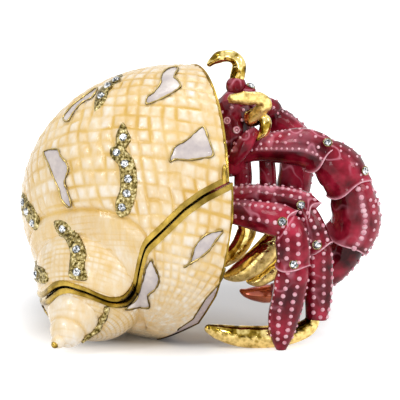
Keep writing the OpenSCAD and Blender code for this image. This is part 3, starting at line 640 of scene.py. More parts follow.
def spire_relief(q):
    theta, turn = coil_angles(q)
    cut = bell(off_line(np.degrees(theta) / 26.0 + turn / ROUND), 0.1) * noise(unit(q), 0.6, 15)
    return -0.12 * cut, 0.5 * cut


def lumpy(q):
    """The shallow swells of a cast body."""
    return (0.8 * (noise(unit(q), 0.45, 41) - 0.5) + 0.5 * (noise(unit(q), 0.2, 42) - 0.5),)


def slightly_lumpy(q):
    return (0.25 * lumpy(q)[0],)


def plain_relief(q):
    return (np.zeros(len(q)),)


def round_form(at, size, rows, sides, relief=plain_relief, grow=0.0):
    """A closed ellipsoid whose grid follows the coil, moved out along its normal by the relief."""
    half = np.asarray(size, float) / 2 + grow
    theta = np.interp(np.linspace(0, CORD_COUNT[-1], rows + 1)[1:-1], CORD_COUNT, CORD_THETA)
    tt, uu = (a.ravel() for a in np.meshgrid(theta, circle(sides), indexing="ij"))
    q = (
        np.cos(tt)[:, None] * COIL
        + (np.sin(tt) * np.cos(uu))[:, None] * COIL_U
        + (np.sin(tt) * np.sin(uu))[:, None] * COIL_V
    )
    q = np.vstack([q, COIL, -COIL])
    verts = at + q * half + unit(q / half) * relief(q)[0][:, None]
    n = len(theta)
    last_ring = [[a, c, b] for a, b, c in fan(n * sides + 1, (n - 1) * sides, sides)]
    obj = mesh_object("form", verts, ring_faces(n, sides) + fan(n * sides, 0, sides) + last_ring)
    obj.data.flip_normals()
    return obj


def box_form(low, high, turn=np.eye(3), at=(0, 0, 0)):
    c = np.array([[x, y, z] for x in (low[0], high[0]) for y in (low[1], high[1]) for z in (low[2], high[2])])
    faces = [[0, 1, 3, 2], [4, 6, 7, 5], [0, 4, 5, 1], [2, 3, 7, 6], [0, 2, 6, 4], [1, 5, 7, 3]]
    return mesh_object("box", c @ np.asarray(turn).T + np.asarray(at), faces)


def rotation(pitch, yaw):
    p, y = math.radians(pitch), math.radians(yaw)
    ry = np.array([[math.cos(p), 0, math.sin(p)], [0, 1, 0], [-math.sin(p), 0, math.cos(p)]])
    rz = np.array([[math.cos(y), -math.sin(y), 0], [math.sin(y), math.cos(y), 0], [0, 0, 1]])
    return rz @ ry


def united(forms):
    whole = None
    for part in forms:
        whole = part if whole is None else combine(whole, part, "UNION")
    return whole


def past_lip(shift):
    """All that lies past the opening's bent plane, moved along by shift."""
    return united(box_form((shift, -FAR, -FAR), (FAR, FAR, FAR), rotation(*turn), at) for at, *turn in LIP_PLANES)


def lip_distance(p):
    """How far points lie past the opening's bent plane."""
    return np.max([(p - at) @ rotation(*turn)[:, 0] for at, *turn in LIP_PLANES], axis=0)


def seam_height(u, y):
    """Height of the seam over its leaning plane: wavy in front and level at the hinge behind."""
    s = np.asarray(u / BODY[0], float)
    eased = ((-0.02, 1 / 12), (-0.01, 3 / 12), (0, 4 / 12), (0.01, 3 / 12), (0.02, 1 / 12))
    wavy = sum(w * np.interp(s + o, SEAM_COURSE[:, 0], SEAM_COURSE[:, 1]) for o, w in eased)
    level = smooth((y - BODY_AT[1]) / (SEAM_LEVEL * BODY[1] / 2))
    return HINGE_Z + (wavy * BODY[2] - HINGE_Z) * (1 - level)


def on_seam(u, y, z):
    """Places from lengths along the seam's leaning plane, back and upward."""
    u, y, z = (np.asarray(a, float).ravel()[:, None] for a in (u, y, z))
    return SEAM_AT + u * ALONG + y * BACKWARD + z * UPWARD


KEPT = {}


def kept(make):
    """Builds a cutting form once and hands out copies."""

    def build(*values):
        key = (make.__name__, values)
        if key not in KEPT:
            KEPT[key] = make(*values)
        return copy_of(KEPT[key])

    return build


@kept
def above_seam(shift):
    us = np.linspace(-0.6, 0.8, 281) * BODY[0]
    ys = np.concatenate([[-FAR], np.linspace(BODY_AT[1], BODY_AT[1] + SEAM_LEVEL * BODY[1] / 2, 25), [FAR]])
    uu, yy = np.meshgrid(us, ys, indexing="ij")
    nu, ny = uu.shape
    m = nu * ny
    faces = []

    def wall(a, b):
        return [a, b, m + b, m + a]

    for i in range(nu - 1):
        for j in range(ny - 1):
            a, b = i * ny + j, (i + 1) * ny + j
            faces += [[a, a + 1, b + 1], [a, b + 1, b], [m + a, m + b, m + b + 1, m + a + 1]]
    for i in range(nu - 1):
        faces += [wall(i * ny, (i + 1) * ny), wall((i + 2) * ny - 1, (i + 1) * ny - 1)]
    for j in range(ny - 1):
        faces += [wall(j + 1, j), wall(m - ny + j, m - ny + j + 1)]
    low, high = seam_height(uu, yy) + shift, np.full_like(uu, FAR)
    return mesh_object("seam", np.vstack([on_seam(uu, yy, low), on_seam(uu, yy, high)]), faces)


def ground(z=0.0):
    return box_form((-FAR, -FAR, -FAR), (FAR, FAR, z))


@kept
def shell_form(grow, detail=1, floor=0.0):
    """The smooth form of the shell, grown by a given amount and cut flat at its floor."""
    rows = (64 * detail, 48 * detail)
    form = united(round_form(at, size, n, 2 * n, grow=grow) for (at, size), n in zip(WHORLS, rows))
    return combine(form, ground(floor), "DIFFERENCE")


@kept
def hollow():
    """The room inside both halves, with the wall that shuts it off from the opening."""
    wall = combine(past_lip(-RECESS - BULKHEAD_T), past_lip(-RECESS), "DIFFERENCE")
    return combine(shell_form(-WALL, 1, FLOOR_T), wall, "DIFFERENCE")


# ---------------------------------------------------------------- hinge and closure places

HINGE_X = -0.035 * BODY[0]
HINGE_AT = SEAM_AT + HINGE_X * ALONG + HINGE_Z * UPWARD
HINGE_BACK = BODY_AT[1] + BODY[1] / 2 * math.sqrt(
    1 - ((HINGE_AT[0] - BODY_AT[0]) / BODY[0] * 2) ** 2 - ((HINGE_AT[2] - BODY_AT[2]) / BODY[2] * 2) ** 2
)
HINGE_L = 11.0
LEAF_T = 1.1
LEAF_H = 6.0
LEAF_OUT = 1.0
HINGE_YAW = 15.0
HINGE_TURN = np.stack([ALONG, BACKWARD, UPWARD], axis=1) @ rotation(0, HINGE_YAW)
HINGE_PLACE = HINGE_AT + np.array([0, HINGE_BACK, 0])
MAGNET_X = 0.13 * BODY[0]
MAGNET_D = 3.0
MAGNET_Y = BODY_AT[1] - BODY[1] / 2 + WALL + 0.9 + MAGNET_D / 2
BOSS_D = MAGNET_D + 1.2 * WALL
BOSS_H = 4.0
BOSS_SIDES = 48


def leaf_recess(side):
    low = 0.0 if side > 0 else -GAP / 2 - LEAF_H
    corners = (-HINGE_L / 2, -LEAF_T, low), (HINGE_L / 2, LEAF_OUT, low + LEAF_H + GAP / 2)
    return box_form(*corners, HINGE_TURN, HINGE_PLACE)


def boss(side):
    """The round boss behind the front of the seam that carries a magnet."""
    top = seam_height(MAGNET_X + side * BOSS_D / 2, 0) + side * (GAP / 2 + RIM_W)
    low = top if side > 0 else top - BOSS_H
    n = BOSS_SIDES
    x, y = (BOSS_D / 2 * np.array([trig(a) for a in circle(n)]) for trig in (math.cos, math.sin))
    verts = np.vstack([on_seam(MAGNET_X + x, MAGNET_Y + y, z) for z in (low, low + BOSS_H)])
    obj = mesh_object("boss", verts, ring_faces(2, n) + [list(range(n - 1, -1, -1)), list(range(n, 2 * n))])
    return combine(obj, round_form(BODY_AT, BODY, 64, 128, grow=-WALL / 2), "INTERSECT")


# ---------------------------------------------------------------- shell pieces


def flange_width(z):
    """Width of the pale flange along the lower lip, which runs out upwards."""
    return 2.1 * smooth((17.5 - z) / 6.0) * (0.3 + 0.7 * smooth(z / 8.0)) - 0.3


def dress_shell(obj):
    """Grooves and stains as attributes; marks the faces of the inside and the foot, which are gold."""
    p = points(obj)
    q_body, q_whorl = ((p - at) / (size / 2) for at, size in WHORLS)
    depth_body = (1 - np.linalg.norm(q_body, axis=1)) * BODY[0] / 2
    depth_whorl = (1 - np.linalg.norm(q_whorl, axis=1)) * WHORL[0] / 2
    _, g_body, s_body, cell = body_relief(q_body)
    on_whorl = np.abs(depth_whorl) < np.abs(depth_body)
    valley = bell(np.abs(depth_body) + np.abs(depth_whorl), 1.1)
    paint(obj, "groove", np.where(on_whorl, whorl_relief(q_whorl)[1], g_body))
    paint(obj, "stain", np.clip(np.maximum(0.4 * valley, np.where(on_whorl, 0, s_body)), 0, 1))
    paint(obj, "cell", np.where(on_whorl, 0.05 + 0.9 * noise(q_whorl, 0.13, 17), cell))
    paint(obj, "lip_band", smooth((lip_distance(p) + flange_width(p[:, 2])) / 0.15))
    c = face_centres(obj)
    deep = [np.linalg.norm((c - at) / (size / 2 - WALL / 2), axis=1) < 1 for at, size in WHORLS]
    return deep[0] | deep[1] | (c[:, 2] < 0.02)


def shell_halves():
    rows = int(round(CORD_COUNT[-1] * RIB_SAMPLES))
    outer = combine(
        round_form(BODY_AT, BODY, rows, RIBS * RIB_SAMPLES, body_relief),
        round_form(WHORL_AT, WHORL, 150, 300, whorl_relief), "UNION",
    )
    combine(outer, ground(), "DIFFERENCE")
    combine(outer, hollow(), "DIFFERENCE")
    for body, side, how, _, band_end in HALVES:
        half = copy_of(outer)
        combine(half, above_seam(side * (GAP / 2 + RIM_SHOWN)), how)
        combine(half, past_lip(-band_end), "DIFFERENCE")
        carrier = boss(side)
        if body == "lid":
            combine(carrier, past_lip(-band_end), "DIFFERENCE")
        combine(half, carrier, "UNION")
        combine(half, leaf_recess(side), "DIFFERENCE")
        gold = dress_shell(half)
        mats, node = [ENAMEL, INNER], [body + "_shell"]
        finish_piece(half, body + "_shell_relief", body, mats, node, 45, gold)


# how far out each layer of a band reaches, and how much narrower it is on each side
BAND_STEPS = ((0.08, 0.0), (0.22, 0.09), (0.32, 0.22), (0.36, 0.42))


def rounded_band(form, low, high):
    """A raised band with eased edges, between a cutting form's places low and high."""

    def layer(grow, inset):
        slab = combine(form(low + inset), form(high - inset), "DIFFERENCE")
        return combine(shell_form(grow, 2), slab, "INTERSECT")

    return united(layer(*step) for step in BAND_STEPS)


def rims_and_lips():
    for body, side, _, _, band_end in HALVES:
        rim = rounded_band(above_seam, *sorted((side * GAP / 2, side * (GAP / 2 + RIM_SHOWN))))
        for tool in (hollow(), past_lip(-band_end), leaf_recess(side)):
            combine(rim, tool, "DIFFERENCE")
        finish_piece(rim, body + "_rim_band", body, [GOLD], [body + "_rim"], sharp=75)
    for body, side, how, band_start, band_end in HALVES:
        lip = rounded_band(past_lip, -band_end, -band_start)
        combine(lip, above_seam(side * GAP / 2), how)
        combine(lip, hollow(), "DIFFERENCE")
        finish_piece(lip, body + "_lip_band", body, [GOLD], [body + "_lip"])


# middle and diameter of the spire's small whorls
SPIRE = [
    (BODY_AT + np.array([-0.318, -0.375, -0.337]) * BODY, 12.4),
    (BODY_AT + np.array([-0.343, -0.445, -0.392]) * BODY, 7.8),
    (BODY_AT + np.array([-0.372, -0.5, -0.424]) * BODY, 3.2),
]
NUB_AT = BODY_AT + np.array([-0.382, -0.518, -0.433]) * BODY
NUB_D = 1.7
KNOB_AT = np.array([5.1, -21.0, 38.9])
KNOB = (1.3, 1.9, 5.6)
# the spire's border and the whorl's edge in the X-Z view, in thousandths of the large whorl's size
CONE_EDGE = [
    [-223, -303], [-222, -318], [-226, -334], [-236, -354], [-246, -374], [-255, -392], [-269, -406],
    [-287, -417], [-300, -430],
]
WHORL_EDGE = [
    [-429, -316], [-427, -336], [-424, -345], [-417, -360], [-408, -375], [-401, -386],
]
LINE_POINTS = 40
# heights of the thin gold line's points along the flange, and how far it lies outside it
FLANGE_LINE = np.linspace(3.6, 19.0, 44)
FLANGE_LINE_OUT = 0.1
HALVINGS = 30
THIN_WIRE = 0.2


def small_trim():
    """The gold drop where the lid's rim meets its lip, the grained strip by the spire, the flange's line."""
    drop = combine(round_form(KNOB_AT, KNOB, 24, 36), above_seam(GAP / 2), "INTERSECT")
    finish_piece(drop, "lid_rim_drop", "lid", [GOLD])
    forms = [*WHORLS, *((at, np.full(3, size)) for at, size in SPIRE)]
    for name, shares, mat, width, swell in (
        ("spire_border", CONE_EDGE, GRAIN, 0.8, 0.12), ("whorl_edge_line", WHORL_EDGE, WIRE, THIN_WIRE, 0.04),
    ):
        p = in_view(shares)
        t = np.linspace(0, 1, LINE_POINTS)
        line = np.stack([np.interp(t * (len(p) - 1), np.arange(len(p)), p[:, i]) for i in (0, 1)], 1)
        place, normal = front_place(line, forms)
        for _ in range(3):
            place[1:-1] = (place[:-2] + place[1:-1] + place[2:]) / 3
        radius = width * (0.45 + 0.55 * np.sqrt(np.sin(math.pi * np.clip(t, 0.02, 0.98)))) + swell * np.sin(t * 23)
        wire = tube(place + THIN_WIRE * normal, radius, 12, closed=False)
        finish_piece(wire, name, "base", [mat], sharp=0)
    ends = []
    for z in FLANGE_LINE:
        low, high = BODY_AT[0], BODY_AT[0] + BODY[0] / 2
        for _ in range(HALVINGS):
            x = 0.5 * (low + high)
            if lip_distance(front_place([[x, z]])[0])[0] < -flange_width(z) - FLANGE_LINE_OUT:
                low = x
            else:
                high = x
        ends.append(front_place([[low, z]])[0][0])
    finish_piece(tube(ends, THIN_WIRE, closed=False), "flange_line", "base", [WIRE], sharp=0)


def spire_pieces():
    whole = united(round_form(at, size, 90, 160, spire_relief) for at, size in SPIRE)
    for tool in (shell_form(0), above_seam(-GAP / 2 - RIM_SHOWN), ground()):
        combine(whole, tool, "DIFFERENCE")
    p = points(whole)
    first, second = (np.abs(np.linalg.norm(p - at, axis=1) - size / 2) for at, size in SPIRE[:2])
    nearest = np.where((first < second)[:, None], SPIRE[0][0], SPIRE[1][0])
    paint(whole, "groove", spire_relief(p - nearest)[1])
    paint(whole, "stain", 0.6 * bell(first + second, 0.5))
    paint(whole, "cell", 0.7 * noise(p, 3.0, 18))
    finish_piece(whole, "spire_whorls", "base", [ENAMEL], ["spire"])
    tip = combine(round_form(NUB_AT, NUB_D, 40, 60), ground(), "DIFFERENCE")
    finish_piece(tip, "spire_tip_cap", "base", [GOLD], ["spire_tip"])


# ---------------------------------------------------------------- trim on the front of the shell

VIEW_EDGE = 0.0025
FAR_BACK = 1e3


def front_place(p, forms=WHORLS):
    """Places and outward directions on the foremost of the forms for points in the X-Z view."""
    p = np.asarray(p, float)
    place = normal = None
    for at, size in forms:
        d = 1 - ((p[:, 0] - at[0]) / size[0] * 2) ** 2 - ((p[:, 1] - at[2]) / size[2] * 2) ** 2
        y = at[1] - size[1] / 2 * np.sqrt(np.maximum(d, VIEW_EDGE))
        y = np.where(d > 0.0, y, at[1] if at is BODY_AT else FAR_BACK)
        inward = np.minimum(1, np.sqrt((1 - VIEW_EDGE) / np.maximum(1 - d, 1e-9)))
        q = np.stack([at[0] + (p[:, 0] - at[0]) * inward, y, at[2] + (p[:, 1] - at[2]) * inward], 1)
        out = unit((q - at) / (np.asarray(size) / 2) ** 2)
        if place is None:
            place, normal = q, out
        nearer = (q[:, 1] < place[:, 1])[:, None]
        place, normal = np.where(nearer, q, place), np.where(nearer, out, normal)
    return place, normal


def in_view(shares):
    """Millimetres in the X-Z view, from thousandths of the large whorl's width and height."""
    return np.asarray(shares) / 1000 * [BODY[0], BODY[2]] + [BODY_AT[0], BODY_AT[2]]


def smooth_loop(shares, per=8):
    """A closed smooth line through the points."""
    p = in_view(shares)
    n = len(p)
    return np.array([spline(*(p[(i + j) % n] for j in (-1, 0, 1, 2)), k / per) for i in range(n) for k in range(per)])


def inside(poly, p):
    x, y = p[:, 0], p[:, 1]
    hit = np.zeros(len(p), bool)
    for (xi, yi), (xj, yj) in zip(poly, np.roll(poly, 1, axis=0)):
        with np.errstate(divide="ignore", invalid="ignore"):
            hit ^= ((yi > y) != (yj > y)) & (x < (xj - xi) * (y - yi) / (yj - yi) + xi)
    return hit


def edge_distance(poly, p):
    best = np.full(len(p), 1e9)
    for a, b in zip(poly, np.roll(poly, -1, axis=0)):
        ab = b - a
        t = np.clip(((p - a) @ ab) / max(ab @ ab, 1e-12), 0, 1)
        best = np.minimum(best, np.linalg.norm(p - a - t[:, None] * ab, axis=1))
    return best


PAD_SINK = 0.5


def pad(loop, rise, ease, step, grain=0.0, seed=1):
    """A raised plate on the front of the shell with an eased edge, as a closed mesh."""
    low, high = loop.min(0), loop.max(0)
    xs = np.arange(low[0], high[0], step)
    zs = np.arange(low[1], high[1], step * 0.866)
    g = np.array([[x + (0.5 * step if j % 2 else 0), z] for j, z in enumerate(zs) for x in xs])
    g = g[inside(loop, g)]
    flat = np.vstack([loop, g[edge_distance(loop, g) > 0.45 * step]])
    ring = [(i, (i + 1) % len(loop)) for i in range(len(loop))]
    verts, _, faces, _, _, _ = delaunay_2d_cdt([Vector(p) for p in flat], ring, [], 1, 1e-5)
    flat = np.array([[v.x, v.y] for v in verts])
    d = edge_distance(loop, flat)
    place, normal = front_place(flat)
    t = np.clip(d / ease, 0, 1)
    height = rise * (0.35 + 0.65 * np.sqrt(1 - (1 - t) ** 2))
    if grain:
        height = height + grain * (noise(place, 0.42, seed) - 0.5) * np.clip(d / 0.3, 0, 1)
    n = len(flat)
    tri = np.array([list(f) for f in faces])
    a, b, c = flat[tri[:, 0]], flat[tri[:, 1]], flat[tri[:, 2]]
    area = (b[:, 0] - a[:, 0]) * (c[:, 1] - a[:, 1]) - (b[:, 1] - a[:, 1]) * (c[:, 0] - a[:, 0])
    tri[area < 0] = tri[area < 0][:, ::-1]
    edges = dict.fromkeys((int(f[i]), int(f[(i + 1) % 3])) for f in tri for i in range(3))
    sides = [[b, a, a + n, b + n] for a, b in edges if (b, a) not in edges]
    top, bottom = place + normal * height[:, None], place - normal * PAD_SINK
    return mesh_object("pad", np.vstack([top, bottom]), tri.tolist() + (tri[:, ::-1] + n).tolist() + sides)


def tube(line, radius, sides=8, closed=True):
    """A round wire along a line of points; radius may be a list."""
    line = np.asarray(line, float)
    n = len(line)
    r = np.broadcast_to(radius, (n,))
    if closed:
        t = unit(np.roll(line, -1, 0) - np.roll(line, 1, 0))
    else:
        t = unit(np.vstack([line[1:2] - line[:1], line[2:] - line[:-2], line[-1:] - line[-2:-1]]))
    side = unit(np.cross(t, [0.31, -0.9, 0.3]))
    over = np.cross(side, t)
    a = circle(sides)
    verts = line[:, None] + r[:, None, None] * (
        np.cos(a)[None, :, None] * side[:, None] + np.sin(a)[None, :, None] * over[:, None]
    )
    faces = ring_faces(n, sides, closed)
    if not closed:
        faces += [list(range(sides - 1, -1, -1)), [(n - 1) * sides + k for k in range(sides)]]
    return mesh_object("tube", verts.reshape(-1, 3), [f[::-1] for f in faces])


def joined(objs):
    """Several meshes as one, with their attributes left behind."""
    verts, faces = [], []
    for o in objs:
        start = sum(map(len, verts))
        verts.append(points(o))
        faces += [[start + v for v in f.vertices] for f in o.data.polygons]
        bpy.data.objects.remove(o)
    return mesh_object("joined", np.vstack(verts), faces)


# outlines of the inlays, X and Z in thousandths of the large whorl's size
CROWN = [
    [0, 496], [-30, 494], [-50, 480], [-55, 455], [-75, 430], [-95, 415], [-95, 395], [-55, 410], [-20, 428],
    [8, 448], [0, 465], [-12, 476],
]
FAN = [
    [-24, 212], [-16, 244], [-7, 261], [30, 284], [57, 310], [80, 323], [95, 287], [110, 233], [82, 223],
    [40, 217], [-4, 219],
]
FLANK = [
    [-420, 208], [-377, 226], [-366, 207], [-348, 187], [-341, 164], [-352, 124], [-345, 97], [-332, 52],
    [-339, 37], [-361, 60], [-370, 93], [-388, 133], [-406, 176],
]
BROW = [
    [-360, 325], [-330, 365], [-293, 397], [-255, 425], [-268, 400], [-300, 379], [-325, 350], [-345, 318],
]
LEAF = [
    [20, -162], [40, -137], [53, -86], [82, -47], [117, -32], [140, -32], [117, -67], [100, -96], [70, -126],
    [40, -147],
]
FOLD = [
    [-165, -318], [-131, -285], [-109, -216], [-100, -170], [-82, -135], [-75, -153], [-62, -187], [-58, -215],
    [-70, -247], [-93, -275], [-90, -321], [-131, -322],
]
PATCHES = [
    [[-171, 334], [-153, 304], [-145, 281], [-160, 250], [-144, 228], [-133, 208], [-125, 156], [-128, 96],
     [-147, 35], [-171, 15], [-191, 32], [-191, 75], [-179, 112], [-179, 164], [-185, 198], [-207, 221],
     [-209, 248], [-193, 262], [-191, 295]],
    [[-175, 467], [-200, 458], [-252, 416], [-260, 361], [-228, 395], [-215, 428], [-191, 450]],
    [[-494, 45], [-477, 35], [-447, 0], [-437, -51], [-448, -70], [-468, -52], [-482, -34], [-494, -24]],
    [[-388, -22], [-357, -12], [-328, -30], [-298, -74], [-284, -115], [-289, -159], [-282, -206], [-335, -201],
     [-337, -161], [-335, -113], [-353, -75], [-374, -66]],
    [[-472, -242], [-455, -200], [-424, -185], [-405, -215], [-415, -238], [-446, -247]],
]
LID_STONES = [
    [-168, 285], [-188, 235], [-163, 200], [-152, 150], [-156, 100], [-171, 52], [-193, 452], [-219, 434],
    [-239, 405], [-484, 20], [-471, -7], [-453, -43], [-357, -43], [-313, -105], [-312, -180], [-440, -218],
]
INLAYS = {"lid": (CROWN, FAN, FLANK, BROW), "base": (LEAF, FOLD)}
STONE_D = 1.85
STONE_H = 0.9
STONE_SIDES = 8
# height, radius and turn of a stone's rings of corners, as shares: base, girdle twice, crown, table
STONE_RINGS = ((0.0, 0.62, 0), (0.3, 1.0, 0), (0.45, 1.0, 0), (0.78, 0.78, 0.5), (1.0, 0.5, 0))
SEAT_FLOOR = 0.15
# a stone's facets are painted dark, bright or between, as painted reflections, each a little off its step
PAINTED_FACET_REFLECTIONS = [0.02, 0.15, 0.4, 0.7, 1.0]
FACET_SPREAD = 0.08
# lift, radius and wire of the metal rings round the stones
LID_COLLAR = (0.42, 1.0, 0.13)
LIMB_COLLAR = (0.42, 0.96, 0.1)
# rise, width of the eased edge and mesh step of the plates on the shell
INLAY_PAD = (0.36, 0.8, 0.55)
PATCH_PAD = (0.5, 0.5, 0.24)
PATCH_GRAIN = 0.45
WIRE_LIFT = 0.24
WIRE_R = 0.21
WIRE_SWELL = 0.09


def trimmed(obj, side, how, band_end):
    """Keeps the part that lies on the enamel of one half."""
    combine(obj, above_seam(side * (GAP / 2 + RIM_SHOWN)), how)
    return combine(obj, past_lip(-band_end), "DIFFERENCE")


def inlays_and_wires():
    for body, side, how, _, band_end in HALVES:
        half = side, how, band_end
        plates, wires = [], []
        for i, shares in enumerate(INLAYS[body]):
            loop = smooth_loop(shares)
            plates.append(trimmed(pad(loop, *INLAY_PAD), *half))
            place, normal = front_place(loop)
            k = np.arange(len(place))
            width = WIRE_R + WIRE_SWELL * np.sin(k * 0.9 + i) * np.sin(k * 0.37)
            wires.append(trimmed(tube(place + normal * WIRE_LIFT, width), *half))
        finish_piece(joined(plates), body + "_inlay_plates", body, [PEARL], [body + "_inlays"])
        finish_piece(joined(wires), body + "_inlay_lines", body, [WIRE], [body + "_inlay_wires"])


def stone(at, direction, lift):
    """A round brilliant: table in eight triangles, crown facets, girdle and a short pavilion."""
    d, side, over = across(direction)
    n = STONE_SIDES
    verts = [
        np.asarray(at)
        + d * (lift + h * STONE_H)
        + r * STONE_D / 2 * (math.cos(ROUND * (k + turn) / n) * side + math.sin(ROUND * (k + turn) / n) * over)
        for h, r, turn in STONE_RINGS
        for k in range(n)
    ]
    verts.append(np.asarray(at) + d * (lift + STONE_H))
    faces = [list(range(n - 1, -1, -1))] + [[4 * n + k, 4 * n + (k + 1) % n, 5 * n] for k in range(n)]
    for i, (a, b, c, e) in enumerate(ring_faces(len(STONE_RINGS), n)):
        if i < 2 * n:
            faces += [[a, b, c, e]]
        elif i < 3 * n:
            faces += [[a, b, e], [b, c, e]]
        else:
            faces += [[a, b, c], [a, c, e]]
    return mesh_object("stone", verts, faces)


def collar(at, direction, lift, radius, wire):
    """A thin ring of metal round a stone."""
    d, side, over = across(direction)
    a = circle(20)[:, None]
    return tube(at + d * lift + radius * (np.cos(a) * side + np.sin(a) * over), wire, 6)


def crystals(name, body, node, places, lift):
    """The stones of one node: every face of a stone has its own corners, and a painted brightness, a painted
    reflection, that differs from the next.
    """
    stones = joined([stone(at, d, lift) for at, d in places])
    p = points(stones)
    verts, faces, shade = [], [], []
    for f in stones.data.polygons:
        # painted reflection: each face of a stone gets its own painted brightness
        tone = float(np.clip(RNG.choice(PAINTED_FACET_REFLECTIONS) + RNG.uniform(-FACET_SPREAD, FACET_SPREAD), 0, 1))
        faces.append(list(range(len(verts), len(verts) + len(f.vertices))))
        verts += [p[v] for v in f.vertices]
        shade += [tone] * len(f.vertices)
    bpy.data.objects.remove(stones)
    made = mesh_object("stones", verts, faces)
    paint(made, "facet_painted_reflection", shade)
    finish_piece(made, name, body, [GLASS], [node], sharp=1)


def patches_and_stones():
    _, side, how, _, band_end = HALVES[0]
    plates = [
        trimmed(pad(smooth_loop(s), *PATCH_PAD, PATCH_GRAIN, seed=i), side, how, band_end)
        for i, s in enumerate(PATCHES)
    ]
    places = list(zip(*front_place(in_view(LID_STONES))))
    collars = [collar(p, d, *LID_COLLAR) for p, d in places]
    finish_piece(joined(plates + collars), "lid_patch_grain", "lid", [GRAIN], ["lid_patches"], sharp=60)
    crystals("lid_stones", "lid", "lid_crystals", places, SEAT_FLOOR)


# ---------------------------------------------------------------- the crab's limbs

SIDES = 40
PER = 10
DEPTH = 0.9
THIN = 0.15
CUFF_WAVE = 1.1
CUFF_WIRE = 0.14
# rows of beads with a pitch below this sit on a clear ridge with a pink line
CLOSE_PITCH = 1.3
FADE = 0.08


class Loft:
    """A smooth limb through its stations, in thousandths: x, y, z of the crab's sizes and its radius."""

    def __init__(self, stations):
        key = np.asarray(stations) / 1000 * [*CRAB, LIMB_W]
        padded = np.vstack([2 * key[:1] - key[1:2], key, 2 * key[-1:] - key[-2:-1]])
        spans = len(key) - 1
        rows = [spline(*padded[i : i + 4], k / PER) for i in range(spans) for k in range(PER + (i == spans - 1))]
        rows = np.array(rows)
        self.line = rows[:, :3]
        self.radius = np.maximum(rows[:, 3], THIN)
        self.tangent = unit(np.gradient(self.line, axis=0))
        self.deep = unit(BACKWARD - self.tangent * self.tangent[:, 1:2])
        self.wide = np.cross(self.deep, self.tangent)
        self.length = np.concatenate([[0], np.cumsum(np.linalg.norm(np.diff(self.line, axis=0), axis=1))])
        self.long = self.length[-1]

    def sample(self, s):
        """Centre, axes and radius at a length along the limb."""
        centre, wide, deep, tangent = (
            np.array([np.interp(s, self.length, a[:, i]) for i in range(3)])
            for a in (self.line, self.wide, self.deep, self.tangent)
        )
        return centre, unit(wide), unit(deep), unit(tangent), float(np.interp(s, self.length, self.radius))

    def surface(self, s, angle, swell):
        c, wide, deep, _, r = self.sample(s)
        a = math.radians(angle)
        out = math.cos(a) * wide + DEPTH * math.sin(a) * deep
        return c + r * swell * out, unit(math.cos(a) * wide + math.sin(a) * deep / DEPTH)


def limb_mesh(loft, swell, extra=None):
    """swell(s, angle) multiplies the radius; extra(s, angle) moves a ring along the limb, in mm."""
    a = np.radians(np.arange(SIDES) * 360 / SIDES)
    s = loft.length[:, None] + 0 * a[None, :]
    ang = np.degrees(a)[None, :] + 0 * loft.length[:, None]
    r = loft.radius[:, None] * swell(s, ang)
    verts = loft.line[:, None] + r[:, :, None] * (
        np.cos(a)[None, :, None] * loft.wide[:, None] + DEPTH * np.sin(a)[None, :, None] * loft.deep[:, None]
    )
    if extra is not None:
        verts = verts + extra(s, ang)[:, :, None] * loft.tangent[:, None]
    n = len(loft.line)
    verts = np.vstack([verts.reshape(-1, 3), loft.line[:1], loft.line[-1:]])
    verts[:, 2] = np.maximum(verts[:, 2], 0)
    far_end = [[tip, c, b] for tip, b, c in fan(n * SIDES + 1, (n - 1) * SIDES, SIDES)]
    return mesh_object("limb", verts, ring_faces(n, SIDES) + fan(n * SIDES, 0, SIDES) + far_end), s, ang


def uneven(s, ang, step, spread, seed):
    """Noise over a limb's surface, about 0."""
    a = np.radians(ang.ravel())
    place = np.stack([s.ravel() / step, np.cos(a) * spread, np.sin(a) * spread], 1)
    return noise(place, 1.0, seed).reshape(s.shape) - 0.5


BALL_RINGS = 5
BALL_SIDES = 10
BALL_FLAT = 0.75


def many_domes(places):
    """Small low domes that sit on a surface, at places (point, outward direction, radius)."""
    verts, faces = [], []
    for at, direction, radius in places:
        if at[2] < 2 * radius:
            continue
        d, side, over = across(direction, (0.31, 0.22, 0.92))
        start = len(verts)
        for i in range(BALL_RINGS):
            e = math.pi * (0.98 * i / BALL_RINGS) - 0.1
            for k in range(BALL_SIDES):
                a = ROUND * k / BALL_SIDES
                rim = max(math.sin(e), 0.02) * (math.cos(a) * side + math.sin(a) * over)
                verts.append(at + radius * (math.cos(e) * BALL_FLAT * d + rim))
        faces.append([start + k for k in range(BALL_SIDES)])
        faces += [[start + k for k in (a, e, c, b)] for a, b, c, e in ring_faces(BALL_RINGS, BALL_SIDES)]
        faces.append([start + (BALL_RINGS - 1) * BALL_SIDES + k for k in range(BALL_SIDES - 1, -1, -1)])
    return mesh_object("domes", verts, faces)


def crab_piece(obj, name, mat, nodes=(), sharp=60):
    finish_piece(obj, name, "base", [mat], nodes, sharp)


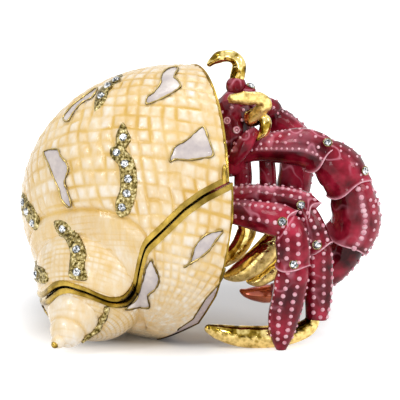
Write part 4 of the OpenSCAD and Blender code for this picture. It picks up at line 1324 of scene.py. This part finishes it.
def limb(node, stations, rows, cuff):
    """An enamelled segment: flared scalloped cuff at its far end and rows of pink beads.

    rows: (angle, from, to, bead radius, pitch) along the limb; from and to are shares of its length.
    cuff: (length in mm, flare, number of scallops), or None."""
    loft = Loft(stations)
    cuff_long, flare, lobes = cuff or (1.0, 0.0, 0)

    def along(s, lo, hi):
        return smooth((s / loft.long - lo) / FADE) * smooth((hi - s / loft.long) / FADE)

    def cuff_share(s):
        return smooth((s - (loft.long - cuff_long)) / cuff_long)

    def scallop(degrees):
        return 0.5 + 0.5 * np.cos(np.radians(degrees + 60) * lobes)

    def swell(s, ang):
        out = 1 + 0.08 * uneven(s, ang, 2.5, 1.6, 21)
        for angle, lo, hi, _, pitch in rows:
            ridge = 0.07 if pitch < CLOSE_PITCH else 0.03
            out = out + ridge * bell(angle_from(ang, angle), 9) * along(s, lo, hi)
        return out + flare * cuff_share(s) ** 2 * (0.6 + 0.4 * scallop(ang))

    def extra(s, ang):
        return CUFF_WAVE * cuff_share(s) * (scallop(ang) - 0.5)

    obj, s, ang = limb_mesh(loft, swell, extra if cuff else None)
    # pink at the cuff's end and along ridged bead rows: paler enamel on raised edges, partly a painted highlight
    pink = 0.8 * bell(s - loft.long, 0.25) if cuff else np.zeros_like(s)
    beads = []
    for i, (angle, lo, hi, bead, pitch) in enumerate(rows):
        line = 0.5 if pitch < CLOSE_PITCH else 0.1
        pink = np.maximum(pink, line * bell(angle_from(ang, angle), 7) * along(s, lo, hi))
        count = max(2, int(round((hi - lo) * loft.long / pitch)) + 1)
        shift = 0.5 * (i % 2) * (hi - lo) / (count - 1)
        for f in np.linspace(lo, hi, count) - shift:
            jump = 3.0 * math.sin(17.0 * f * count + 5 * i) if pitch > CLOSE_PITCH else 0.0
            at, out = loft.surface(max(f, 0.02) * loft.long, angle + jump, 1.02)
            beads.append((at, out, bead * (0.9 + 0.2 * abs(math.sin(29.0 * f + i)))))
    paint(obj, "pink", np.concatenate([pink.ravel(), [0, 0]]))
    crab_piece(obj, node + "_form", MAROON, [node])
    if beads:
        crab_piece(many_domes(beads), node + "_beads", BEAD)
    if cuff:
        c, wide, deep, tangent, r = loft.sample(loft.long)
        ends = []
        for g in np.arange(0, 360, 4.5):
            a, lobe = math.radians(g), scallop(g)
            out = r * (1 + flare * (0.6 + 0.4 * lobe)) * (math.cos(a) * wide + DEPTH * math.sin(a) * deep)
            at = c + out + tangent * CUFF_WAVE * (lobe - 0.5)
            ends.append([at[0], at[1], max(at[2], 0.2)])
        crab_piece(tube(ends, CUFF_WIRE), node + "_edge", BEAD, sharp=0)


def claw(node, stations, mat, brush_from, brush_to, dent=0.1):
    """A plated claw with a dented surface, a rounded end and a brushed band between two angles."""
    loft = Loft(stations)

    def swell(s, ang):
        dented = 1 + dent * uneven(s, ang, 1.5, 1.4, 31) + 0.06 * bell(angle_from(ang, brush_to), 12)
        past = np.clip((s - loft.long) / loft.radius[-1] + 1, 0, 1)
        return dented * np.sqrt(np.maximum(1 - past**2, 0.02))

    obj, s, ang = limb_mesh(loft, swell)
    middle, half = 0.5 * (brush_from + brush_to), 0.5 * (brush_to - brush_from)
    off = np.abs(angle_from(ang, middle)) + 9 * np.sin(s * 3.1) + 6 * np.sin(s * 7.7)
    brushed = 1 - smooth((off - half + 4) / 8)
    paint(obj, "brushed", np.concatenate([brushed.ravel(), [0, 0]]))
    finish_piece(obj, node + "_form", "base", [mat], [node], sharp=60)


def dots(size, pitch, *rows):
    return [(angle, lo, hi, size, pitch) for angle, lo, hi in rows]


# stations in thousandths of the crab's sizes and of a limb's width, rows of beads, and cuff
LIMBS = {
    "claw_upper": (
        [[60, 35, 600, 250], [120, 0, 635, 290], [175, -30, 650, 320], [240, -60, 655, 380],
         [285, -75, 655, 420], [320, -75, 640, 430], [340, -75, 615, 430]],
        dots(0.34, 1.15, (268, 0.35, 0.96))
        + dots(0.36, 1.8, (246, 0.4, 0.93), (222, 0.45, 0.93), (198, 0.3, 0.93), (150, 0.4, 0.9)), (1.6, 0.05, 3)),
    "claw_elbow": (
        [[325, -75, 635, 340], [360, -70, 610, 470], [390, -65, 575, 530], [405, -60, 540, 510],
         [415, -60, 515, 500]],
        dots(0.3, 1.5, (180, 0.15, 0.9), (205, 0.2, 0.92), (226, 0.3, 0.92), (120, 0.2, 0.9)), (1.6, 0.05, 3)),
    "claw_hand": (
        [[410, -60, 540, 400], [425, -55, 500, 460], [430, -40, 460, 520], [435, -25, 420, 540],
         [430, -10, 370, 540], [410, 0, 330, 540]],
        dots(0.66, 1.25, (250, 0.12, 0.95))
        + dots(0.42, 1.6, (222, 0.1, 0.95), (200, 0.1, 0.95), (178, 0.1, 0.95), (120, 0.1, 0.9)), (1.6, 0.04, 3)),
    "claw_finger": (
        [[420, 0, 355, 360], [405, 15, 300, 430], [380, 30, 255, 420], [345, 45, 210, 380],
         [300, 60, 165, 320], [250, 60, 140, 260], [200, 60, 135, 230]],
        dots(0.34, 1.6, (180, 0.15, 0.6), (205, 0.15, 0.6)), None),
    "far_upper": (
        [[140, 95, 745, 220], [170, 155, 755, 290], [190, 175, 740, 340], [200, 180, 725, 300],
         [225, 195, 695, 350], [265, 220, 650, 360], [275, 220, 615, 330]],
        dots(0.32, 1.2, (205, 0.45, 0.95))
        + dots(0.32, 1.6, (180, 0.1, 0.95), (235, 0.1, 0.4), (130, 0.2, 0.9)), (1.6, 0.05, 3)),
    "far_hand": (
        [[270, 220, 635, 280], [275, 210, 600, 360], [270, 185, 540, 380], [260, 155, 480, 370],
         [250, 125, 420, 330], [240, 95, 365, 280]],
        dots(0.32, 1.7, (190, 0.1, 0.9), (90, 0.1, 0.9)), None),
    "inner_arm": (
        [[120, 25, 600, 170], [120, 30, 540, 200], [120, 20, 490, 190], [130, 10, 445, 220],
         [130, 0, 375, 180]],
        dots(0.26, 1.9, (250, 0.1, 0.9)), None),
    "mid_arm": (
        [[185, 60, 610, 180], [190, 60, 530, 190], [190, 50, 470, 200], [205, 30, 415, 210],
         [215, 0, 365, 190]],
        dots(0.24, 2.1, (265, 0.1, 0.9)), None),
    "back_leg_upper": (
        [[40, -60, 480, 220], [115, -135, 495, 250], [195, -175, 495, 290], [275, -210, 480, 310],
         [310, -230, 455, 270]],
        dots(0.46, 1.25, (205, 0.22, 0.95)) + dots(0.4, 1.7, (238, 0.3, 0.9), (170, 0.3, 0.9)), (1.5, 0.07, 3)),
    "back_leg_knee": (
        [[280, -230, 475, 220], [295, -230, 440, 280], [310, -230, 390, 330], [325, -230, 335, 330]],
        dots(0.45, 1.75, (255, 0.15, 0.82), (290, 0.15, 0.82), (218, 0.2, 0.85)), (1.4, 0.07, 2)),
    "back_leg_shin": (
        [[325, -230, 355, 240], [326, -230, 320, 320], [328, -230, 240, 310], [327, -230, 155, 285],
         [322, -230, 95, 230]],
        dots(0.48, 1.75, (250, 0.12, 0.95), (292, 0.12, 0.95), (205, 0.15, 0.95)), None),
    "front_leg_upper": (
        [[30, -120, 450, 220], [90, -210, 455, 270], [155, -270, 450, 330], [220, -310, 440, 360],
         [250, -325, 430, 300]],
        dots(0.4, 1.3, (222, 0.25, 0.95))
        + dots(0.48, 1.9, (275, 0.3, 0.92)) + dots(0.36, 1.8, (190, 0.3, 0.9)), (1.6, 0.08, 3)),
    "front_leg_knee": (
        [[235, -325, 445, 230], [250, -335, 410, 330], [255, -345, 350, 380], [255, -345, 290, 360]],
        dots(0.5, 1.8, (252, 0.18, 0.85), (290, 0.18, 0.85))
        + dots(0.34, 1.6, (325, 0.2, 0.85), (205, 0.2, 0.85)), (1.4, 0.07, 2)),
    "front_leg_shin": (
        [[255, -345, 310, 260], [255, -345, 270, 350], [244, -335, 200, 360], [229, -315, 105, 330],
         [224.5, -300, 42, 230], [223.5, -290, -8, 80]],
        dots(0.5, 1.75, (250, 0.14, 0.86), (290, 0.14, 0.86))
        + dots(0.34, 1.6, (328, 0.15, 0.8), (202, 0.2, 0.85)), None),
    "cheek": (
        [[155, -85, 720, 70], [135, -95, 690, 170], [110, -95, 645, 190], [85, -85, 605, 120]],
        dots(0.3, 1.6, (330, 0.2, 0.9)), None),
}
# stations, from and to angle of the brushed band, and depth of the dents
CLAWS = {
    "high_feeler": (
        [[98, 95, 840, 150], [105, 95, 880, 170], [108, 95, 915, 160], [90, 95, 941, 140],
         [60, 95, 943, 130], [36, 95, 928, 100], [19, 95, 910, 50]], 40, 60, 0.25),
    "low_feeler": (
        [[140, -75, 745, 130], [160, -95, 775, 150], [180, -115, 805, 150], [160, -115, 825, 150],
         [120, -115, 825, 140], [75, -115, 825, 110]], 200, 330, 0.25),
    "jaw": (
        [[160, -80, 760, 100], [180, -95, 745, 130], [175, -95, 710, 120], [155, -95, 680, 30]],
         60, 90, 0.35),
    "pincer_front": (
        [[222, -5, 375, 190], [207, -40, 335, 260], [180, -60, 295, 280], [140, -75, 252, 260],
         [100, -75, 225, 200], [62, -75, 213, 50]], 150, 276, 0.05),
    "pincer_low": (
        [[218, 55, 345, 170], [235, 65, 280, 220], [222, 40, 238, 230], [190, 20, 210, 200],
         [160, 0, 190, 150], [128, 0, 186, 40]], 150, 272, 0.05),
    "pincer_top": (
        [[40, -45, 450, 160], [105, -45, 425, 180], [130, -40, 378, 200], [117, -20, 325, 210],
         [90, 0, 275, 170], [62, 0, 235, 40]], 160, 250, 0.08),
    "toe": (
        [[318, -230, 115, 130], [300, -235, 70, 190], [250, -240, 44, 220], [180, -245, 36, 250],
         [110, -255, 40, 235], [50, -275, 58, 170], [12, -300, 78, 70]], 120, 273, 0.04),
}
CLAW_TIP = [
    [235, 60, 140, 150], [195, 60, 135, 210], [160, 50, 135, 180], [130, 40, 140, 110], [110, 40, 150, 30],
]

# middle and size of the crab's two body forms
CARAPACE = np.array([0.085, 0.06, 0.68]) * CRAB, np.array([0.13, 0.31, 0.29]) * CRAB
THORAX = np.array([0.02, -0.02, 0.455]) * CRAB, np.array([0.14, 0.4, 0.34]) * CRAB
CRAB_GAP = 0.5
RIM_OUT = 0.35
SPOT_R = 0.42
RINGED_R = 0.34
# lift, radius and wire of the rings on the carapace
RING = (0.05, 0.62, 0.22)
# X and Z of rings and dots on the carapace, in thousandths of the crab's sizes
RINGS = [
    [74, 745], [100, 715],
]
SPOTS = [
    [60, 770], [87, 785], [62, 715], [115, 745], [70, 675], [95, 670], [110, 690], [60, 660], [88, 640],
    [72, 625], [120, 775], [100, 800],
]
EYE_AT = np.array([0.1, 0.095, 0.84]) * CRAB
EYE_D = 2.2 * 0.21 * LIMB_W
EYE_FORWARD = np.array([0.0, -0.5, 0.1])
EYE_2_AT = EYE_AT + np.array([0.27, -0.1, -0.1]) * LIMB_W
EYE_2_R = 1.7
CUP_AT = np.array([0.145, -0.075, 0.755]) * CRAB
CUP_D = 2 * 0.20 * LIMB_W
DISH_AT = CUP_AT + np.array([-0.3, -1.5, 0.3])
DISH_D = CUP_D * 0.72
DISH_REACH = CUP_D * 0.365
STONE_SINK = 0.35
# place in the crab, radius of the limb there in mm, and direction of the stones on the limbs
CRAB_STONES = [
    ([0.275, -0.21, 0.48], 3.1, [0.1, -1, 0.1]),
    ([0.322, -0.23, 0.35], 3.4, [0, -1, 0.1]),
    ([0.225, -0.312, 0.44], 3.6, [0, -1, 0.1]),
    ([0.257, -0.345, 0.305], 3.7, [0, -1, 0.05]),
    ([0.345, -0.075, 0.64], 4.6, [0.15, -0.75, 0.6]),
    ([0.415, -0.06, 0.575], 5.3, [0.7, -0.7, 0.1]),
]
EYE_STONE_OUT = [0.4, -0.3, 1]


def on_carapace(x, z):
    """Place and outward direction on the carapace's front."""
    middle, size = CARAPACE
    at = np.array([x / 1000 * CRAB[0], 0, z / 1000 * CRAB[2]])
    d = (at - middle) / (size / 2)
    at[1] = middle[1] - size[1] / 2 * math.sqrt(max(1 - d[0] ** 2 - d[2] ** 2, 0.02))
    return at, unit((at - middle) / (size / 2) ** 2)


def bare_enamel(obj, name, node):
    """A piece in plain enamel, with no pink on it."""
    paint(obj, "pink", 0)
    crab_piece(obj, name, MAROON, [node], sharp=50)


def body_of_the_crab():
    front = combine(round_form(*CARAPACE, 70, 110, lumpy), past_lip(RIM_OUT + CRAB_GAP), "INTERSECT")
    chest = combine(round_form(*THORAX, 70, 110, lumpy), past_lip(-RECESS), "INTERSECT")
    upper = combine(above_seam(-GAP / 2 - CRAB_GAP), past_lip(-RECESS + CRAB_GAP), "DIFFERENCE")
    combine(chest, upper, "DIFFERENCE")
    bare_enamel(front, "carapace_form", "carapace")
    bare_enamel(chest, "thorax_form", "thorax")
    beads = [(*on_carapace(x, z), SPOT_R) for x, z in SPOTS]
    ringed = [on_carapace(x, z) for x, z in RINGS]
    crab_piece(many_domes(beads + [(*place, RINGED_R) for place in ringed]), "carapace_beads", BEAD)
    crab_piece(joined([collar(*place, *RING) for place in ringed]), "carapace_rings", BEAD, sharp=0)
    balls = ((EYE_AT + EYE_FORWARD, EYE_D), (EYE_2_AT, 2 * EYE_2_R))
    eyes = united(round_form(*ball, 30, 48, slightly_lumpy) for ball in balls)
    bare_enamel(eyes, "eye_form", "eye_joints")


def feeler_cup():
    """The lower feeler's cup, gold outside and copper red inside."""
    cup = round_form(CUP_AT, CUP_D, 40, 60, slightly_lumpy)
    combine(cup, round_form(DISH_AT, DISH_D, 40, 60), "DIFFERENCE")
    paint(cup, "brushed", 0)
    within = np.linalg.norm(face_centres(cup) - DISH_AT, axis=1) < DISH_REACH
    finish_piece(cup, "low_feeler_cup", "base", [SMALL_CLAW_PAINTED_LIGHTER, COPPER], sharp=50, second=within)


def crab_stones():
    places = []
    for share, radius, direction in CRAB_STONES:
        d = unit(direction)
        places.append((np.array(share) * CRAB + d * (radius * DEPTH - STONE_SINK), d))
    d = unit(EYE_STONE_OUT)
    places.append((EYE_2_AT + d * (EYE_2_R * DEPTH - STONE_SINK), d))
    crystals("crab_stones", "base", "crab_crystals", places, 0.0)
    rings = joined([collar(at, d, *LIMB_COLLAR) for at, d in places])
    finish_piece(rings, "crab_stone_collars", "base", [GRAIN], sharp=0)


def crab():
    for node, (stations, rows, cuff) in LIMBS.items():
        limb(node, stations, rows, cuff)
    for node, (stations, low, high, dent) in CLAWS.items():
        mat = CLAW if node == "toe" else PINCER_PAINTED_LIGHTER if "pincer" in node else SMALL_CLAW_PAINTED_LIGHTER
        claw(node, stations, mat, low, high, dent)
    claw("claw_tip", CLAW_TIP, COPPER, 180, 260)
    body_of_the_crab()
    feeler_cup()
    crab_stones()


# ---------------------------------------------------------------- kept CAD nodes

NODE_MATERIALS = {
    "base_hinge": GOLD, "lid_hinge": GOLD, "hinge_pin": STEEL, "base_magnet": STEEL, "lid_magnet": STEEL,
}


def kept_nodes():
    for name, mat in NODE_MATERIALS.items():
        dress(frame["nodes"][name], mat)


# ---------------------------------------------------------------- stage, light and camera, in metres

FLOOR = [[-1.5, -1.2, 0], [1.5, -1.2, 0], [1.5, 1.5, 0], [-1.5, 1.5, 0]]
WORLD_LEVEL = 0.6
LIGHTS_AIM = Vector((0, 0, 0.03))
# name, place, side and watts
LIGHTS = (
    ("key", (-0.35, -0.45, 0.55), 0.2, 1.15),
    ("low_front", (-0.16, -0.7, 0.1), 0.14, 0.5),
    ("side", (0.5, -0.3, 0.3), 0.2, 0.8),
    ("top", (0.05, 0.1, 0.7), 0.25, 0.8),
    ("left_glint", (-0.22, -0.6, 0.5), 0.03, 0.16),
    ("right_glint", (0.3, -0.55, 0.42), 0.03, 0.16),
)
CAMERA_AIM = Vector((-0.11, -1.33, 30.24)) * MM
CAMERA_RISE = math.radians(10)
CAMERA_FAR = 0.9
SENSOR = 36.0
# width in metres that the picture shows at the aim
VIEW_WIDTH = 0.0876


def stage():
    """A floor that shows white further away and stays grey in an ellipse round the object, a painted shadow area in
    which the lamps' shadow of the object also shows.
    """
    floor = mesh_object("floor", FLOOR, [[0, 1, 2, 3]])
    white = (1, 1, 1, 1)
    n = Surface(
        "floor", Roughness=0.9, Specular_IOR_Level=0.0, Base_Color=(0.76, 0.76, 0.77, 1.0), Emission_Color=white,
    )
    seen = n.seen()
    # painted shadow: inside this ellipse round the object the floor gives off no light of its own and stays grey
    shift = n.add("ShaderNodeMapping", vector_type="TEXTURE")
    shift.inputs["Location"].default_value = (-0.006, 0.03, 0.0)
    shift.inputs["Scale"].default_value = (0.04, 0.058, 1.0)
    n.link(n.place(), shift.inputs["Vector"])
    away = n.add("ShaderNodeVectorMath", operation="LENGTH")
    n.link(shift.outputs["Vector"], away.inputs[0])
    glow_outside_painted_shadow = n.span(away.outputs["Value"], 0.7, 1.2)
    n.link(n.math("MULTIPLY", seen, glow_outside_painted_shadow), n.inputs["Emission Strength"])
    dress(floor, n.mat)

    world = bpy.data.worlds.new("studio")
    bpy.context.scene.world = world
    world.use_nodes = True
    n = Nodes(world.node_tree)
    back = n.tree.nodes["Background"]
    back.inputs["Color"].default_value = white
    n.link(n.span(n.seen(), 0.0, 1.0, WORLD_LEVEL, 1.0), back.inputs["Strength"])


def aimed(name, data, at, away):
    """An object that looks against the direction away."""
    obj = linked(bpy.data.objects.new(name, data))
    obj.location = at
    obj.rotation_euler = (-away).to_track_quat("-Z", "Y").to_euler()
    return obj


def lights_and_camera():
    for name, at, side, watts in LIGHTS:
        light = bpy.data.lights.new(name, "AREA")
        light.energy = watts
        light.size = side
        aimed(name, light, at, Vector(at) - LIGHTS_AIM)
    cam = bpy.data.cameras.new("camera")
    cam.sensor_width = SENSOR
    cam.lens = SENSOR * CAMERA_FAR / VIEW_WIDTH
    cam.clip_start, cam.clip_end = 0.01, 20
    away = Vector((0, -math.cos(CAMERA_RISE), math.sin(CAMERA_RISE)))
    bpy.context.scene.camera = aimed("camera", cam, CAMERA_AIM + away * CAMERA_FAR, away)


def clear_tools():
    for o in list(bpy.data.objects):
        if o.type == "MESH" and body_of(o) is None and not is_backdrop(o):
            bpy.data.objects.remove(o)


bpy.context.scene.view_settings.view_transform = "Standard"
shell_halves()
rims_and_lips()
spire_pieces()
small_trim()
inlays_and_wires()
patches_and_stones()
crab()
kept_nodes()
clear_tools()
stage()
lights_and_camera()
